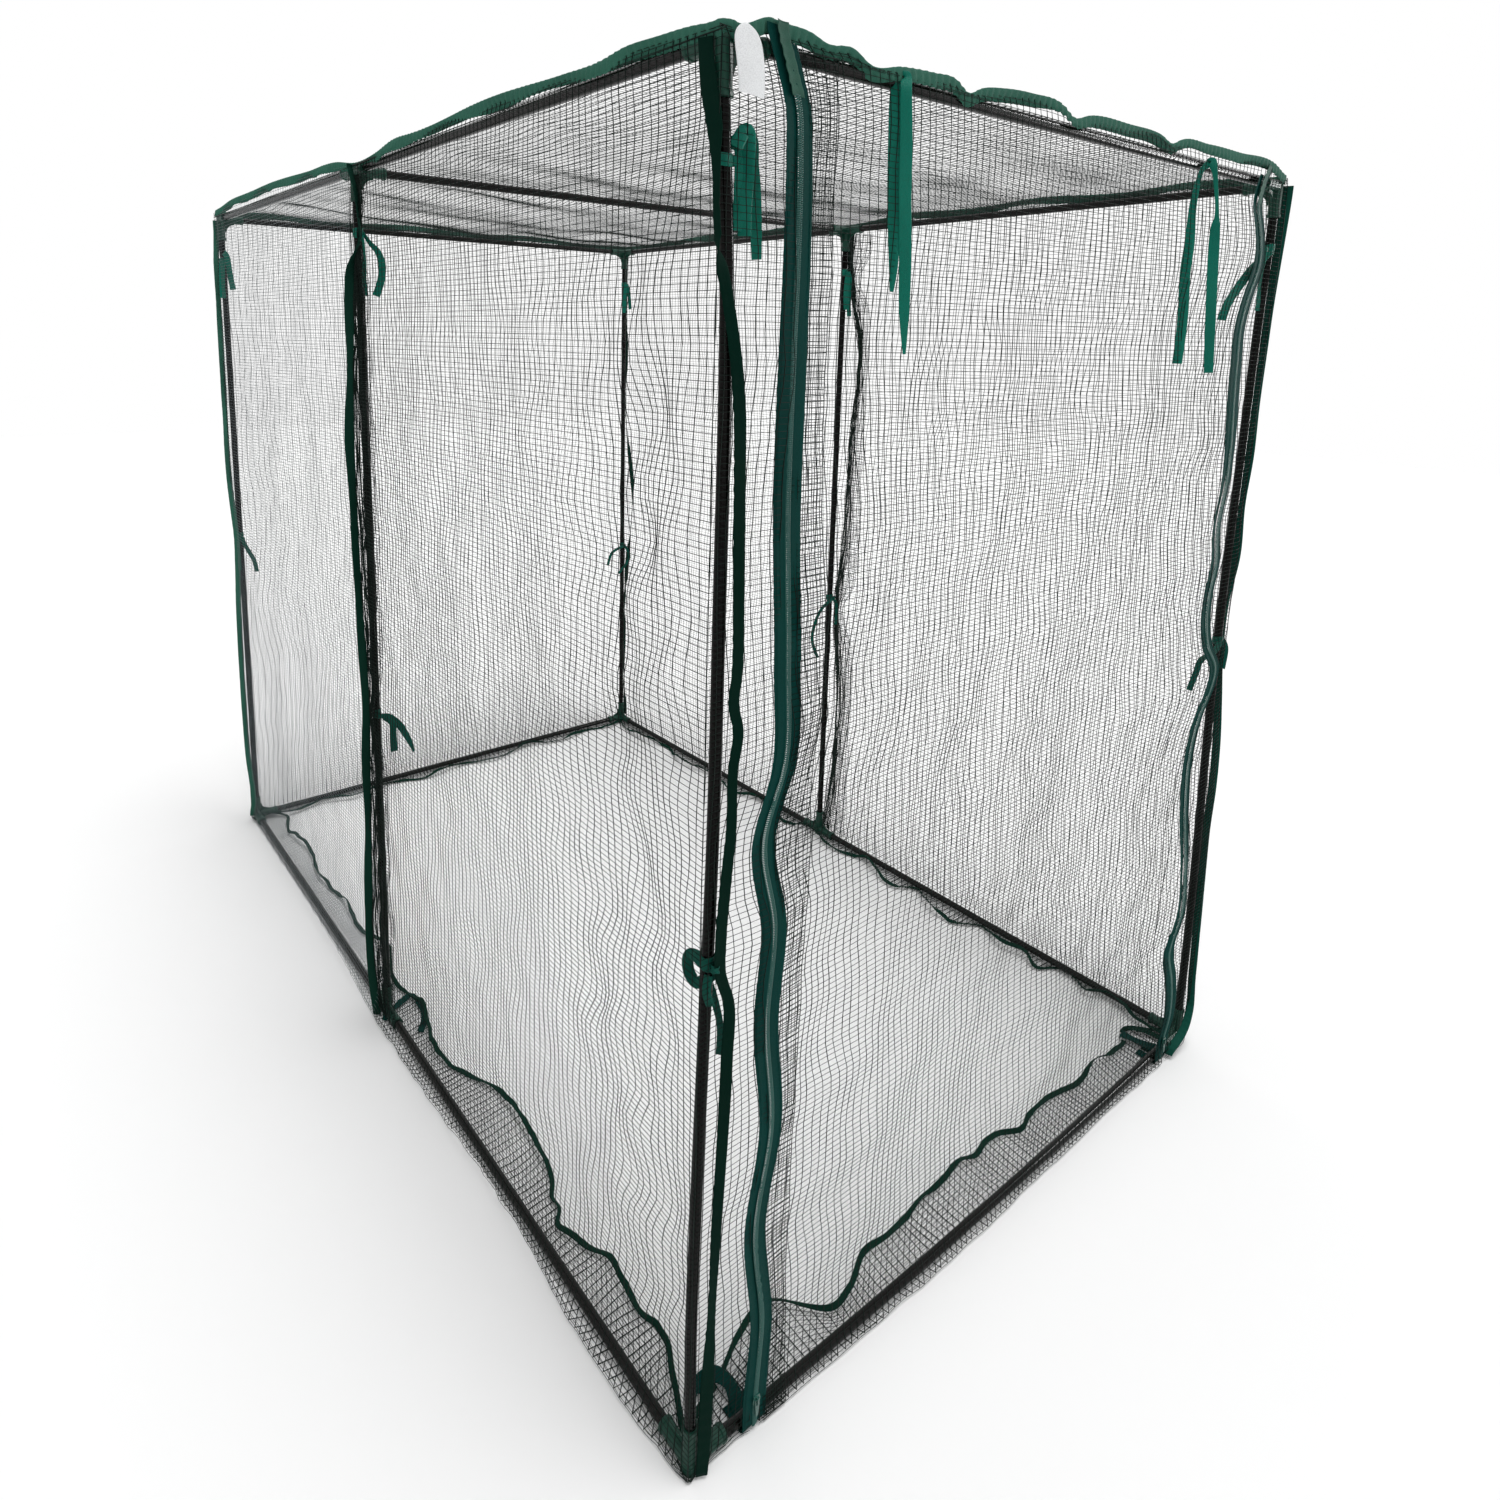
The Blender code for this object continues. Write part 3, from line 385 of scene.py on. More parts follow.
def tube(node, start, end, bow=(0, 0, 0)):
    """A hollow tube with rolled ends, bowed a little in its middle."""
    sides, rows = 32, 48
    start, end, bow = (np.asarray(v, float) for v in (start, end, bow))
    t = np.linspace(0, 1, rows + 1)[:, None]
    centre = start + (end - start) * t + bow * (4 * t * (1 - t)) ** 0.8
    if node.startswith("post_"):
        centre = centre + post_bow(node.removeprefix("post_"), centre[:, 2])
    along = unit(np.gradient(centre, axis=0))
    ring = rings(centre, X if abs((end - start) @ X) < 0.5 * np.linalg.norm(end - start) else Z, sides)
    rim = TUBE_RADIUS - TUBE_WALL / 2
    verts = np.concatenate([
        [centre[0] - along[0] * ROLLED_END + rim * ring[0]],
        centre[:, None] + TUBE_RADIUS * ring,
        [centre[-1] + along[-1] * ROLLED_END + rim * ring[-1]],
        (centre[:, None] + (TUBE_RADIUS - TUBE_WALL) * ring)[::-1],
    ])
    index = np.arange(len(verts) * sides).reshape(-1, sides)
    soup = Soup()
    soup.add(verts, skin(np.concatenate([index, index[:1]])))
    # Rails take the lighter copy of the tube's colour: painted top light.
    piece = soup.piece(f"tube_{node}", RAIL if "rail" in node else TUBE, "cage", "tube")
    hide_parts(node)


def add_tubes():
    for side, x in (("left", -HALF_WIDTH), ("right", HALF_WIDTH)):
        for place, y in (("front", -HALF_LENGTH), ("middle", 0), ("back", HALF_LENGTH)):
            tube(f"post_{place}_{side}", (x, y, BASE_AXIS + SEAT), (x, y, TOP_AXIS - SEAT))
        for level, z in (("base", BASE_AXIS), ("top", TOP_AXIS)):
            for place, y in (("front", -HALF_LENGTH), ("back", 0)):
                tube(f"{level}_rail_{side}_{place}", (x, y + SEAT, z), (x, y + HALF_LENGTH - SEAT, z))
    for name, y, z, bow in (
        ("base_rail_front", -HALF_LENGTH, BASE_AXIS, -0.01),
        ("base_rail_back", HALF_LENGTH, BASE_AXIS, 0),
        ("top_rail_front", -HALF_LENGTH, TOP_AXIS, 0),
        ("top_rail_back", HALF_LENGTH, TOP_AXIS, 0),
        ("top_rail_cross", 0, TOP_AXIS, 0),
    ):
        tube(name, (-HALF_WIDTH + SEAT, y, z), (HALF_WIDTH - SEAT, y, z), (0, bow, 0))


# Netting: the radii of its yarns, its mesh, and how much the mesh wavers

WALE = 0.00062
THREAD = 0.0004
WALE_PITCH = 0.014
ROW_PITCH = 0.0081
WALE_WAVER = 0.0009
ROW_WAVER = 0.0004
FIRST_ROW = 0.004
# Each net with the size it was cut to, how it is held and what it rests on
SHEETS = []


def half_surface(piece):
    """The cloth area of closed yarn: half of what its surface measures."""
    area = np.empty(len(piece.data.polygons), np.float32)
    piece.data.polygons.foreach_get("area", area)
    return float(area.sum()) / 2


def net_piece(
    name, place, us, vs, u_fine, v_fine, refs, body, node_names, flat, seed, rests, footed=True,
    wale=WALE, thread=THREAD, finish=None,
):
    """Netting over a surface: thick wales along v and fine threads along u, all of them real strands."""
    rng = np.random.default_rng(seed)
    soup = Soup()
    own = rng.uniform(0, math.tau, (2, len(us), 1))
    drift = 0.0006 * (np.sin(23 * v_fine + own[0]) + np.sin(47 * v_fine + own[1]))
    thick = wale * (1 + 0.14 * np.sin(190 * v_fine + own[1]) + 0.1 * rng.uniform(-1, 1, (len(us), 1)))
    if footed:
        thick = thick * (1 + 0.38 * np.clip((SKIRT + 0.05 - v_fine) / 0.03, 0, 1))
    add_strands(soup, place(us[:, None] + drift, v_fine), thick, refs[0])
    jog = 0.0005 * np.sin(9 * u_fine + rng.uniform(0, math.tau, (len(vs), 1)))
    add_strands(soup, place(u_fine, vs[:, None] + jog), thread, refs[1])
    piece = soup.piece(name, finish or YARN, body, "net")
    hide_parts(*node_names)
    SHEETS.append((piece, flat, "hung", rests))


def stations(low, high, pitch, rng=None, jitter=0):
    """Places from low to high, about a pitch apart."""
    count = max(1, round((high - low) / pitch))
    at = np.linspace(low, high, count + 1)
    if rng is not None:
        at[1:-1] += rng.uniform(-jitter, jitter, count - 1)
    return at


# Height of the top seam, as (distance along the wall, height)
TOPS = {
    "front": smooth_mm({
        -700: 1830, -685.6: 1829.1, -673.4: 1827.8, -659.9: 1832.4, -646.3: 1839, -635.2: 1843.2,
        -617.9: 1841.8, -569: 1839.5, -548: 1833.5, -501: 1836, -475: 1824.5, -419: 1832, -360: 1835.6,
        -312: 1834.4, -290: 1823, -264: 1832.8, -213: 1841.2, -147: 1845.7, -75: 1843.9, -39: 1830,
        -3: 1838.6, 113: 1842.9, 213: 1842.1, 257: 1834.4, 273: 1841.1, 374: 1848, 484: 1849, 631: 1850,
        700: 1832,
    }),
    "left": smooth_mm({
        -1100: 1828, -1075.5: 1832, -997.5: 1836.8, -938.7: 1838.8, -883.6: 1833.6, -794.8: 1835.9,
        -630.8: 1842.2, -315.9: 1836.8, -227.8: 1838.3, -150.5: 1828.9, -41: 1823.8, 77.3: 1838.6,
        250.8: 1842.1, 457.8: 1849, 691.9: 1850, 927: 1848, 1110: 1838,
    }),
    "right": smooth_mm({
        -1110: 1834, -950: 1842, -780: 1836, -600: 1845, -420: 1838, -200: 1843, 0: 1830, 200: 1843,
        450: 1838, 620: 1845, 850: 1838, 1110: 1836,
    }),
    "back": smooth_mm({
        -700: 1836, -550: 1843, -380: 1834, -150: 1844, 100: 1837, 300: 1844, 500: 1835, 700: 1838,
    }),
}

# How far in the hem lies, as (distance along the wall, distance of the hem from the tubes' plane)
HEMS = {
    "front": smooth_mm({
        -700: 10, -660: 30, -590: 60, -520: 88, -441: 92, -413: 63, -385: 34, -340: 33, -277: 62, -216: 58,
        -100: 78, -42: 76, 17: 80, 42: 72, 98: 81, 129: 76, 172: 56, 215: 66, 254: 69, 328: 65, 369: 54,
        426: 60, 499: 56, 570: 63, 607: 79, 660: 40, 700: 12,
    }),
    "left": smooth_mm({
        -1110: 6, -1070: 17, -1012: 42, -965: 66, -944: 73, -923: 77, -903: 70, -878: 66, -848: 69,
        -811: 72, -781: 74, -761: 64, -731: 51, -703: 42, -681: 41, -659: 56, -631: 61, -606: 75, -540: 88,
        -486: 93, -327: 88, -255: 55, -190: 38, -80: 60, -20: 72, 95: 50, 213: 84, 350: 58, 485: 66,
        650: 52, 815: 71, 950: 54, 1071: 65, 1110: 30,
    }),
    "right": smooth_mm({
        -1110: 10, -1040: 30, -941: 12, -911: 32, -863: 8, -810: 6, -790: 40, -740: 26, -680: 41, -629: 18,
        -592: 8, -570: 34, -481: 58, -431: 37, -391: 9, -338: 52, -280: 44, -207: 14, -100: 40, 30: 20,
        120: 48, 260: 12, 380: 50, 500: 22, 630: 52, 780: 14, 900: 46, 1030: 34, 1110: 12,
    }),
    "back": smooth_mm({
        -700: 10, -600: 40, -500: 22, -390: 50, -270: 16, -140: 48, 0: 24, 120: 52, 250: 16, 400: 46,
        520: 20, 620: 40, 700: 12,
    }),
}

# How far the folded foot of each wall stands out beyond the wall, by the distance along it
FOOT = {
    "front": smooth_mm({
        -700: 0.5, -600: 1, -550: 5, -500: 7, -400: 10.5, -300: 12.2, -200: 15.7, -140: 16.2, 0: 15,
        100: 12.3, 300: 11.2, 470: 9.8, 600: 7.8, 700: 6,
    }),
    "left": smooth_mm({
        -1100: 6, -1068: 8, -1038: 11, -975: 15.5, -902: 16.8, -819: 15.8, -774: 14.5, -719: 9.5, -662: 5,
        -609: 3.8, -498: 3.5, -446: 6, -390: 9, -331: 11.5, -267: 13.5, -202: 16, -128: 17.2, 44: 16,
        154: 10, 273: 3.5, 390: 1.5, 1110: 1,
    }),
    "right": smooth_mm({-1100: 4, -900: 14, -500: 9, -100: 15, 300: 8, 700: 14, 1100: 4}),
    "back": smooth_mm({-700: 4, -400: 13, -100: 8, 300: 14, 700: 4}),
}

# Centre lines of the two zips, as (height, place across the front)
LEFT_ZIP = smooth_mm({
    0: -582.5, 60: -582.5, 100: -580, 163: -576, 340: -593.5, 476: -572.5, 645: -587.5, 774: -580,
    904: -602, 993: -572.5, 1119: -574, 1312: -584.5, 1492: -584.5, 1611: -583.5, 1708: -585.5, 1760: -590,
    1800: -606, 1840: -620,
})
RIGHT_ZIP = smooth_mm({
    0: 582.5, 52: 582.5, 100: 600, 140: 600, 191: 589.3, 271: 564.8, 336: 598, 441: 593, 588: 560.4,
    707: 552.5, 786: 576.6, 835: 613, 872: 623, 931: 577.4, 985: 557.9, 1042: 557.3, 1092: 570, 1173: 560,
    1250: 574.3, 1473: 561.2, 1550: 559, 1613: 581.8, 1653: 603.6, 1690: 607.4, 1735: 590.5, 1765: 574,
    1812: 584.7, 1840: 600,
})

# How far back the net is drawn to the right front post, by height
CORNER_PULL = smooth_mm({
    400: 0, 600: 2, 700: 4, 800: 11, 870: 18, 930: 21, 1000: 20, 1100: 11, 1200: 13, 1300: 7, 1400: 7,
    1500: 5, 1600: 2, 1700: 0,
})


def lie(v, t_hem, rise, lift, foot):
    """Distance beyond the tubes' plane and height, for a place v from the hem to the top seam."""
    on_ground, at_fold, seam_drop, fin_lean = 0.0016, 0.0045, 0.005, 0.004
    t = np.clip(v / SKIRT, 0, 1)
    z_wall = np.clip(v - SKIRT, 0, RISE) * RAIL_TOP / RISE
    share = np.clip((v - SKIRT - RISE) / FIN, 0, 1)
    out_wall = NET_OUT + foot * bell(z_wall, 0.008, 0.032) - fin_lean * share
    z_wall = at_fold + z_wall * (1 - at_fold / RAIL_TOP)
    z = np.where(share > 0, RAIL_TOP + (rise - seam_drop - RAIL_TOP) * share, z_wall)
    under = -t_hem + (NET_OUT + 0.92 * foot + t_hem) * t
    z_under = on_ground + lift * (1 - t) ** 2 + 0.0022 * t**3
    ground = v < SKIRT
    return np.where(ground, under, out_wall), np.where(ground, z_under, z)


def drawn_back(world):
    """The way along y that points of the front and right walls move near the corner between them."""
    from_x, reach_y = 0.66, 0.09
    past = np.clip((world[..., 0] - from_x) / (X_NET - from_x), 0, 1) ** 2
    near = np.clip(1 - (world[..., 1] + Y_NET) / reach_y, 0, 1)
    return CORNER_PULL(world[..., 2]) * past * ease(near)


class Wall:
    """One side of the cover as a surface: u along it, v from the hem up to the top seam."""

    def __init__(self, side, seed, meander, pinches=()):
        self.side = side
        self.sway = ripple(seed, 0.3, 0.42)
        self.fine = ripple(seed + 1, 0.1, 0.16)
        self.billow = ripple(seed + 2, 0.45, 0.6)
        self.rumple = ripple(seed + 3, 0.055, 0.09)
        self.curl = ripple(seed + 4, 0.16, 10)
        self.meander = meander
        self.pinches = pinches

    def __call__(self, u, v):
        top = TOPS[self.side](u)
        z0 = v - SKIRT
        calm = np.clip(np.minimum(z0 / 0.25, (RISE - z0) / 0.25), 0.12, 1)
        calm = np.where(z0 < 0, 0.5, calm)
        shift = calm * self.meander * (0.7 * self.sway(u, v) + 0.35 * self.fine(u, v))
        if self.side == "left":
            shift = shift * (1 + 1.1 * bell(u, -1, 0.16))
        reach = REACH[self.side]
        edge = np.clip((reach + NET_OUT - np.abs(u)) / 0.05, 0, 1)
        for at_u, at_z, pull, wide, high in self.pinches:
            shift = shift + (at_u - u) * pull * bell(u, at_u, wide) * bell(z0, at_z, high)
        u = u + shift * edge
        depth = 0.0012 if self.side == "left" else 0.003
        slack = calm * edge * depth * (self.billow(u, v) + 0.4 * self.fine(v, u))
        lift = 0.006 * (1 + self.curl(u, 0)) + 0.0015
        corner = np.clip((np.abs(u) - reach + 0.014) / (NET_OUT + 0.014), 0, 1)
        foot = FOOT[self.side](u) * (1 - corner**2) * (1 + 0.05 * self.curl(u, 0))
        out, z = lie(v, HEMS[self.side](u), top, np.clip(lift, 0.001, 0.016), foot)
        near_ground = np.exp(-np.clip(z0, 0, 9) / 0.035)
        out = out + np.where(z0 > 0, slack, 0) + 0.0011 * near_ground * (1 - corner) * self.rumple(u, v)
        z = np.maximum(z + 0.0006 * near_ground * (1 + self.rumple(v, u)), 0.0012)
        world = self.to_world(u, out, z)
        if self.side in ("front", "right"):
            world[..., 1] += drawn_back(world)
        return world

    def to_world(self, u, out, z):
        if self.side == "left":
            return xyz(-HALF_WIDTH - out, u, z)
        if self.side == "right":
            return xyz(HALF_WIDTH + out, u, z)
        if self.side == "back":
            return xyz(u, HALF_LENGTH + out, z)
        return xyz(u, -HALF_LENGTH - out, z)


class Front(Wall):
    """The front face, whose places across are drawn along by the two zips."""

    def __init__(self, part, seed, meander):
        super().__init__("front", seed, meander)
        self.part = part

    def __call__(self, u, v):
        z = np.clip(v - SKIRT, 0, TOP_AXIS + FIN)
        left = LEFT_ZIP(z) + ZIP_X
        right = RIGHT_ZIP(z) - ZIP_X
        if self.part == "door":
            pull = left * np.exp(-(u + ZIP_X) / 0.16) + right * np.exp(-(ZIP_X - u) / 0.16)
        elif self.part == "left":
            pull = left * np.clip((u + X_NET) / 0.09, 0, 1)
        else:
            pull = right * np.clip((X_NET - u) / 0.09, 0, 1)
        return super().__call__(u + pull, v)


# The seed and the meander of each wall, which its net and its hem share
WALLS = {"left": (11, 0.0085), "right": (31, 0.0085), "back": (51, 0.008)}
FRONT_WALLS = {"left": (71, 0.004), "right": (73, 0.004), "door": (81, 0.0075)}

# The side walls' yarn as the photograph shows it: stout nearby, thin beyond the left middle post, where its
# colour is a paler copy with painted light
SIDE_YARN = {
    ("left", "front"): {"wale": 0.00068, "thread": 0.00045},
    ("left", "back"): {"wale": 0.00036, "thread": 0.00045, "finish": YARN_FAR_LIT},
    ("right", "front"): {"wale": 0.0007, "thread": 0.00046},
    ("right", "back"): {"wale": 0.00066, "thread": 0.00042},
}

# Where ties draw the side walls' wales together: place along, height, strength, and reach both ways
PINCHES = [
    (-HALF_LENGTH, 0.78, 0.55, 0.13, 0.15),
    (-HALF_LENGTH, 1.7, 0.5, 0.12, 0.13),
    (0, 0.72, 0.7, 0.06, 0.1),
    (0, 1.68, 0.7, 0.06, 0.1),
    (HALF_LENGTH, 0.92, 0.4, 0.09, 0.09),
    (HALF_LENGTH, 1.71, 0.4, 0.09, 0.09),
]


def side_nets():
    rng = np.random.default_rng(5)
    rows = stations(FIRST_ROW, V_TOP, ROW_PITCH, rng, ROW_WAVER)
    for side, step_v, step_u in (("left", 0.026, 0.02), ("right", 0.034, 0.03)):
        wall = Wall(side, *WALLS[side], PINCHES)
        for part, low, high in (("front", -Y_NET, 0), ("back", 0, Y_NET)):
            cols = stations(low, high, WALE_PITCH, rng, WALE_WAVER)
            net_piece(
                f"net_{side}_{part}", wall, cols if part == "front" else cols[1:], rows,
                stations(low, high, step_u), stations(0, V_TOP, step_v), (Y, Z), "cage",
                (f"net_{side}", f"skirt_{side}"), (high - low, V_TOP), WALLS[side][0] + len(part),
                [f"top_rail_{side}_{part}"], **SIDE_YARN[side, part],
            )


def back_net():
    rng = np.random.default_rng(6)
    cols = stations(-X_NET, X_NET, WALE_PITCH, rng, WALE_WAVER)
    rows = stations(FIRST_ROW, V_TOP, ROW_PITCH, rng, ROW_WAVER)
    net_piece(
        "net_back_wall", Wall("back", *WALLS["back"]), cols, rows, stations(-X_NET, X_NET, 0.035),
        stations(0, V_TOP, 0.04), (X, Z), "cage", ("net_back", "skirt_back"), (2 * X_NET, V_TOP), 52,
        ["top_rail_back"],
    )


def front_nets():
    rng = np.random.default_rng(7)
    rows = stations(FIRST_ROW, V_TOP, ROW_PITCH, rng, ROW_WAVER)
    inner = ZIP_X + TAPE_HALF - 0.012
    for part, low, high in (("left", -X_NET, -inner), ("right", inner, X_NET)):
        seed, meander = FRONT_WALLS[part]
        net_piece(
            f"net_front_strip_{part}", Front(part, seed, meander),
            stations(low, high, WALE_PITCH, rng, 0.0008), rows, stations(low, high, 0.013),
            stations(0, V_TOP, 0.03), (X, Z), "cage", (f"net_front_{part}",), (high - low, V_TOP), seed,
            ["top_rail_front"],
        )
    door = Front("door", *FRONT_WALLS["door"])
    fine = stations(-DOOR_REACH, DOOR_REACH, 0.02)
    net_piece(
        "net_door_panel", door, stations(-DOOR_REACH, DOOR_REACH, WALE_PITCH, rng, WALE_WAVER),
        rows[rows < DOOR_TOP], fine, stations(0, DOOR_TOP, 0.026), (X, Z), "door", ("net_door", "door_flap"),
        (2 * DOOR_REACH, DOOR_TOP), 82, ["net_front_top"], wale=0.00064, thread=0.00043,
    )
    strip_net(door, rng)
    net_piece(
        "net_front_seam", door, stations(-DOOR_REACH, DOOR_REACH, WALE_PITCH, rng, WALE_WAVER),
        rows[rows >= DOOR_TOP], fine, stations(DOOR_TOP, V_TOP, 0.008), (X, Z), "cage", ("net_front_top",),
        (2 * DOOR_REACH, 0.021), 83, ["top_rail_front"],
    )


STRIP_EDGE = smooth_mm({
    0: -526, 300: -530, 663: -524, 834: -519, 930: -525, 1070: -511, 1343: -526, 1524: -526, 1670: -527,
    1800: -530,
})


def strip_net(door, rng):
    """The doubled selvedge beside the left zip, whose stout rows run across it."""

    def place(u, v):
        z = np.clip(v - SKIRT, 0, TOP_AXIS)
        near = LEFT_ZIP(z) + TAPE_HALF - 0.006
        across = near + (STRIP_EDGE(z) - near) * u
        world = door(across, v)
        world[..., 0] = across
        world[..., 1] -= 0.0012
        return world

    soup = Soup()
    rows = stations(0.02, DOOR_TOP - 0.004, 0.007, rng, ROW_WAVER)
    cols = stations(0, 1, 1 / 9, rng, 0.008)[:, None]
    u_fine = stations(0, 1, 0.2)
    v_fine = stations(0.02, DOOR_TOP - 0.004, 0.014)
    tilt = 0.0022 * np.sin(7 * rows + 1)[:, None] * (u_fine - 0.5) + 0.002 * (u_fine - 0.5)
    add_strands(soup, place(u_fine, rows[:, None] + tilt), 0.00062, Z)
    wander = 0.02 * np.sin(29 * v_fine + rng.uniform(0, 6, (len(cols), 1)))
    thick = np.where(cols == cols[-1], 0.00065, 0.00044)
    add_strands(soup, place(cols + wander * (cols < 0.95), v_fine), thick, X)
    piece = soup.piece("net_door_strip", YARN, "door", "net")
    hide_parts("net_door")
    SHEETS.append((piece, (0.056, DOOR_TOP), "hung", ["net_front_top"]))


def roof_net():
    """Two bays that sag between the rails and lap over them at the edge."""
    rng = np.random.default_rng(8)
    wave = ripple(91, 0.3, 0.25)
    sway = ripple(92, 0.4, 0.3)

    def from_edge(x, y):
        return np.minimum(X_NET - np.abs(x), Y_NET - np.abs(y))

    def place(u, v):
        inside = np.clip(from_edge(u, v) / 0.05, 0, 1)
        x = u + 0.006 * sway(u, v) * inside
        y = v + 0.006 * wave(v, u) * inside
        bay = np.abs(np.abs(y) - HALF_LENGTH / 2) / (HALF_LENGTH / 2)
        sag = np.clip(1 - bay**2, 0, 1) * np.clip(1 - (x / HALF_WIDTH) ** 2, 0, 1)
        z = RAIL_TOP + 0.0012 - 0.012 * sag + 0.0025 * wave(x, y) * np.clip(sag * 3, 0, 1)
        lip = np.clip(1 - from_edge(x, y) / 0.02, 0, 1)
        return xyz(x, y, z - 0.005 * lip**2)

    for part, low, high in (("front", -Y_NET, 0), ("back", 0, Y_NET)):
        lines = stations(low, high, ROW_PITCH, rng, ROW_WAVER)
        net_piece(
            f"net_roof_{part}", place, stations(-X_NET, X_NET, WALE_PITCH, rng, WALE_WAVER),
            lines if part == "front" else lines[1:], stations(-X_NET, X_NET, 0.03),
            stations(low, high, 0.034), (Z, Z), "cage", ("net_roof",), (2 * X_NET, high - low),
            93 + len(part), [f"top_rail_left_{part}", "top_rail_cross"], footed=False, thread=0.0003,
        )


# Edge bindings


def binding(
    name, centre, across, width, body="cage", thickness=0.0017, crown=0.0005, finish=BINDING, gather=0,
):
    soup = Soup()
    add_band(soup, centre, across, width, thickness, crown, gather)
    return soup.piece(name, finish, body, "zip_tape", with_uv=True)


def top_binding():
    """The bound seam round the top, one closed run whose height wanders as the photograph shows."""
    turn = 0.016
    plan = []
    for side, way in (("front", 1), ("right", 1), ("back", -1), ("left", -1)):
        end = way * (REACH[side] + NET_OUT - turn)
        u = np.linspace(-end, end, round(2 * abs(end) / 0.003))
        plan.append(Wall(side, 1, 0).to_world(u, NET_OUT - 0.002, TOPS[side](u)))
    rows = []
    t = np.linspace(0, 1, 12)[1:-1, None]
    for part, following in zip(plan, plan[1:] + plan[:1]):
        ahead = following[0]
        corner = np.where(np.abs(part[-1] - part[-2]) > 0.001, ahead, part[-1])
        corner[2] = (part[-1][2] + ahead[2]) / 2
        rows += [part, (1 - t) ** 2 * part[-1] + 2 * t * (1 - t) * corner + t**2 * ahead]
    top = np.concatenate(rows)
    kernel = np.hanning(9) / np.hanning(9).sum()
    top[:, 2] = np.convolve(np.concatenate([top[-4:, 2], top[:, 2], top[:4, 2]]), kernel, "valid")
    top = np.concatenate([top, top[:1]])
    run = run_length(top)
    flat = top[:, :2]
    near = np.linalg.norm(flat - (-0.69, -1.105), axis=1)
    top[:, 2] += 0.003 * bell(near, 0, 0.018)
    width = 0.018 + 0.002 * ripple(108, 0.25, 9)(run, 0) + 0.004 * bell(near, 0, 0.035)
    half = np.array((HALF_WIDTH, HALF_LENGTH))
    outward = unit(np.column_stack([flat / half**8 * np.abs(flat) ** 7, 0 * run]))
    lean = 0.26 * ripple(109, 0.24, 9)(run, 0) * (1 - np.exp(-((near / 0.05) ** 2))) + 0.1
    across = np.cos(lean)[:, None] * Z + np.sin(lean)[:, None] * outward
    centre = top - across * width[:, None] / 2 + outward * (0.0012 * ripple(110, 0.3, 9)(run, 0))[:, None]
    # The top binding takes the lighter copy of the binding's colour: painted light from above.
    binding("binding_top", centre, across, width, "cage", 0.0022, 0.0008, LIT_TOP_CLOTH, gather=0.0012)


def hems():
    for side, reach in (("back", HALF_WIDTH), ("left", HALF_LENGTH + 0.006), ("right", HALF_LENGTH + 0.006)):
        hem_band(f"hem_{side}", Wall(side, *WALLS[side]), -reach, reach, "cage")
    hem_band("hem_door", Front("door", *FRONT_WALLS["door"]), -DOOR_REACH, DOOR_REACH, "door")
    for part, low, high in (("left", -0.69, -0.592), ("right", 0.592, 0.69)):
        hem_band(f"hem_front_{part}", Front(part, *FRONT_WALLS[part]), low, high, "cage")


def hem_band(name, wall, low, high, body):
    u = np.linspace(low, high, max(12, round((high - low) / 0.006)))
    edge = wall(u, np.full_like(u, 0.002))
    inner = wall(u, np.full_like(u, 0.012))
    twist = ripple(len(name) * 7, 0.12, 9)(u, 0)[:, None]
    across = unit(inner - edge) + 0.55 * twist * Z
    edge = edge + Z * 0.0022 + Z * np.abs(twist) * 0.0015
    binding(name, edge, across, 0.01, body, thickness=0.0018)


# Vertical bindings, by height, all a little outside the net


def front_left_binding():
    """It slides along the front from the post to the corner, then hangs beside it, bunched by its tie."""
    turn_z, beyond_x, beyond_y = 1.602, -0.7015, -1.1195
    z = np.linspace(0.006, 1.815, 240)
    front = smooth_mm({
        6: -680, 31: -678.4, 155: -674.3, 277: -669.5, 396: -665.7, 511: -660.3, 627: -656.8, 707: -657.1,
        751: -671.4, 791: -671.9, 868: -666.6, 937: -660.4, 1013: -660, 1058: -653.9, 1092: -662.1,
        1124: -658.7, 1219: -659.2, 1295: -661.3, 1355: -662.8, 1446: -666.9, 1506: -676.3, 1553: -687,
        1605: -699,
    })
    place = smooth_mm({
        1600: -1118.5, 1616: -1117.5, 1650: -1114.2, 1676: -1113.4, 1699: -1111.4, 1716: -1110, 1733: -1107,
        1766: -1098.5, 1799: -1092.5, 1823: -1090.5,
    })
    bunched = smooth({
        1.585: 1, 1.616: 0.6, 1.65: 0.46, 1.676: 0.52, 1.699: 0.66, 1.716: 0.9, 1.733: 1.04, 1.766: 1.08,
        1.799: 0.94, 1.823: 0.92,
    })
    low = z < turn_z
    x = np.where(low, front(z), beyond_x)
    y = np.where(low, beyond_y, place(z))
    past = np.clip((z - 1.56) / 0.08, 0, 1)
    turn = ease(past)
    sway = 0.16 * ripple(201, 0.3, 9)(z, 0) - 0.35
    across = xyz(1 - 1.35 * turn, sway * (1 - turn) + turn, 0)
    width = 0.0146 + 0.001 * ripple(202, 0.25, 9)(z, 0) + 0.004 * bell(z, 0.12, 0.12) + 0.004 * past
    width = width * bunched(z)
    # Its colour is the darker copy of the binding: painted shade.
    binding("binding_front_left", xyz(x, y, z), across, width, finish=SHADED_CORNER_BINDING, gather=0.0006)


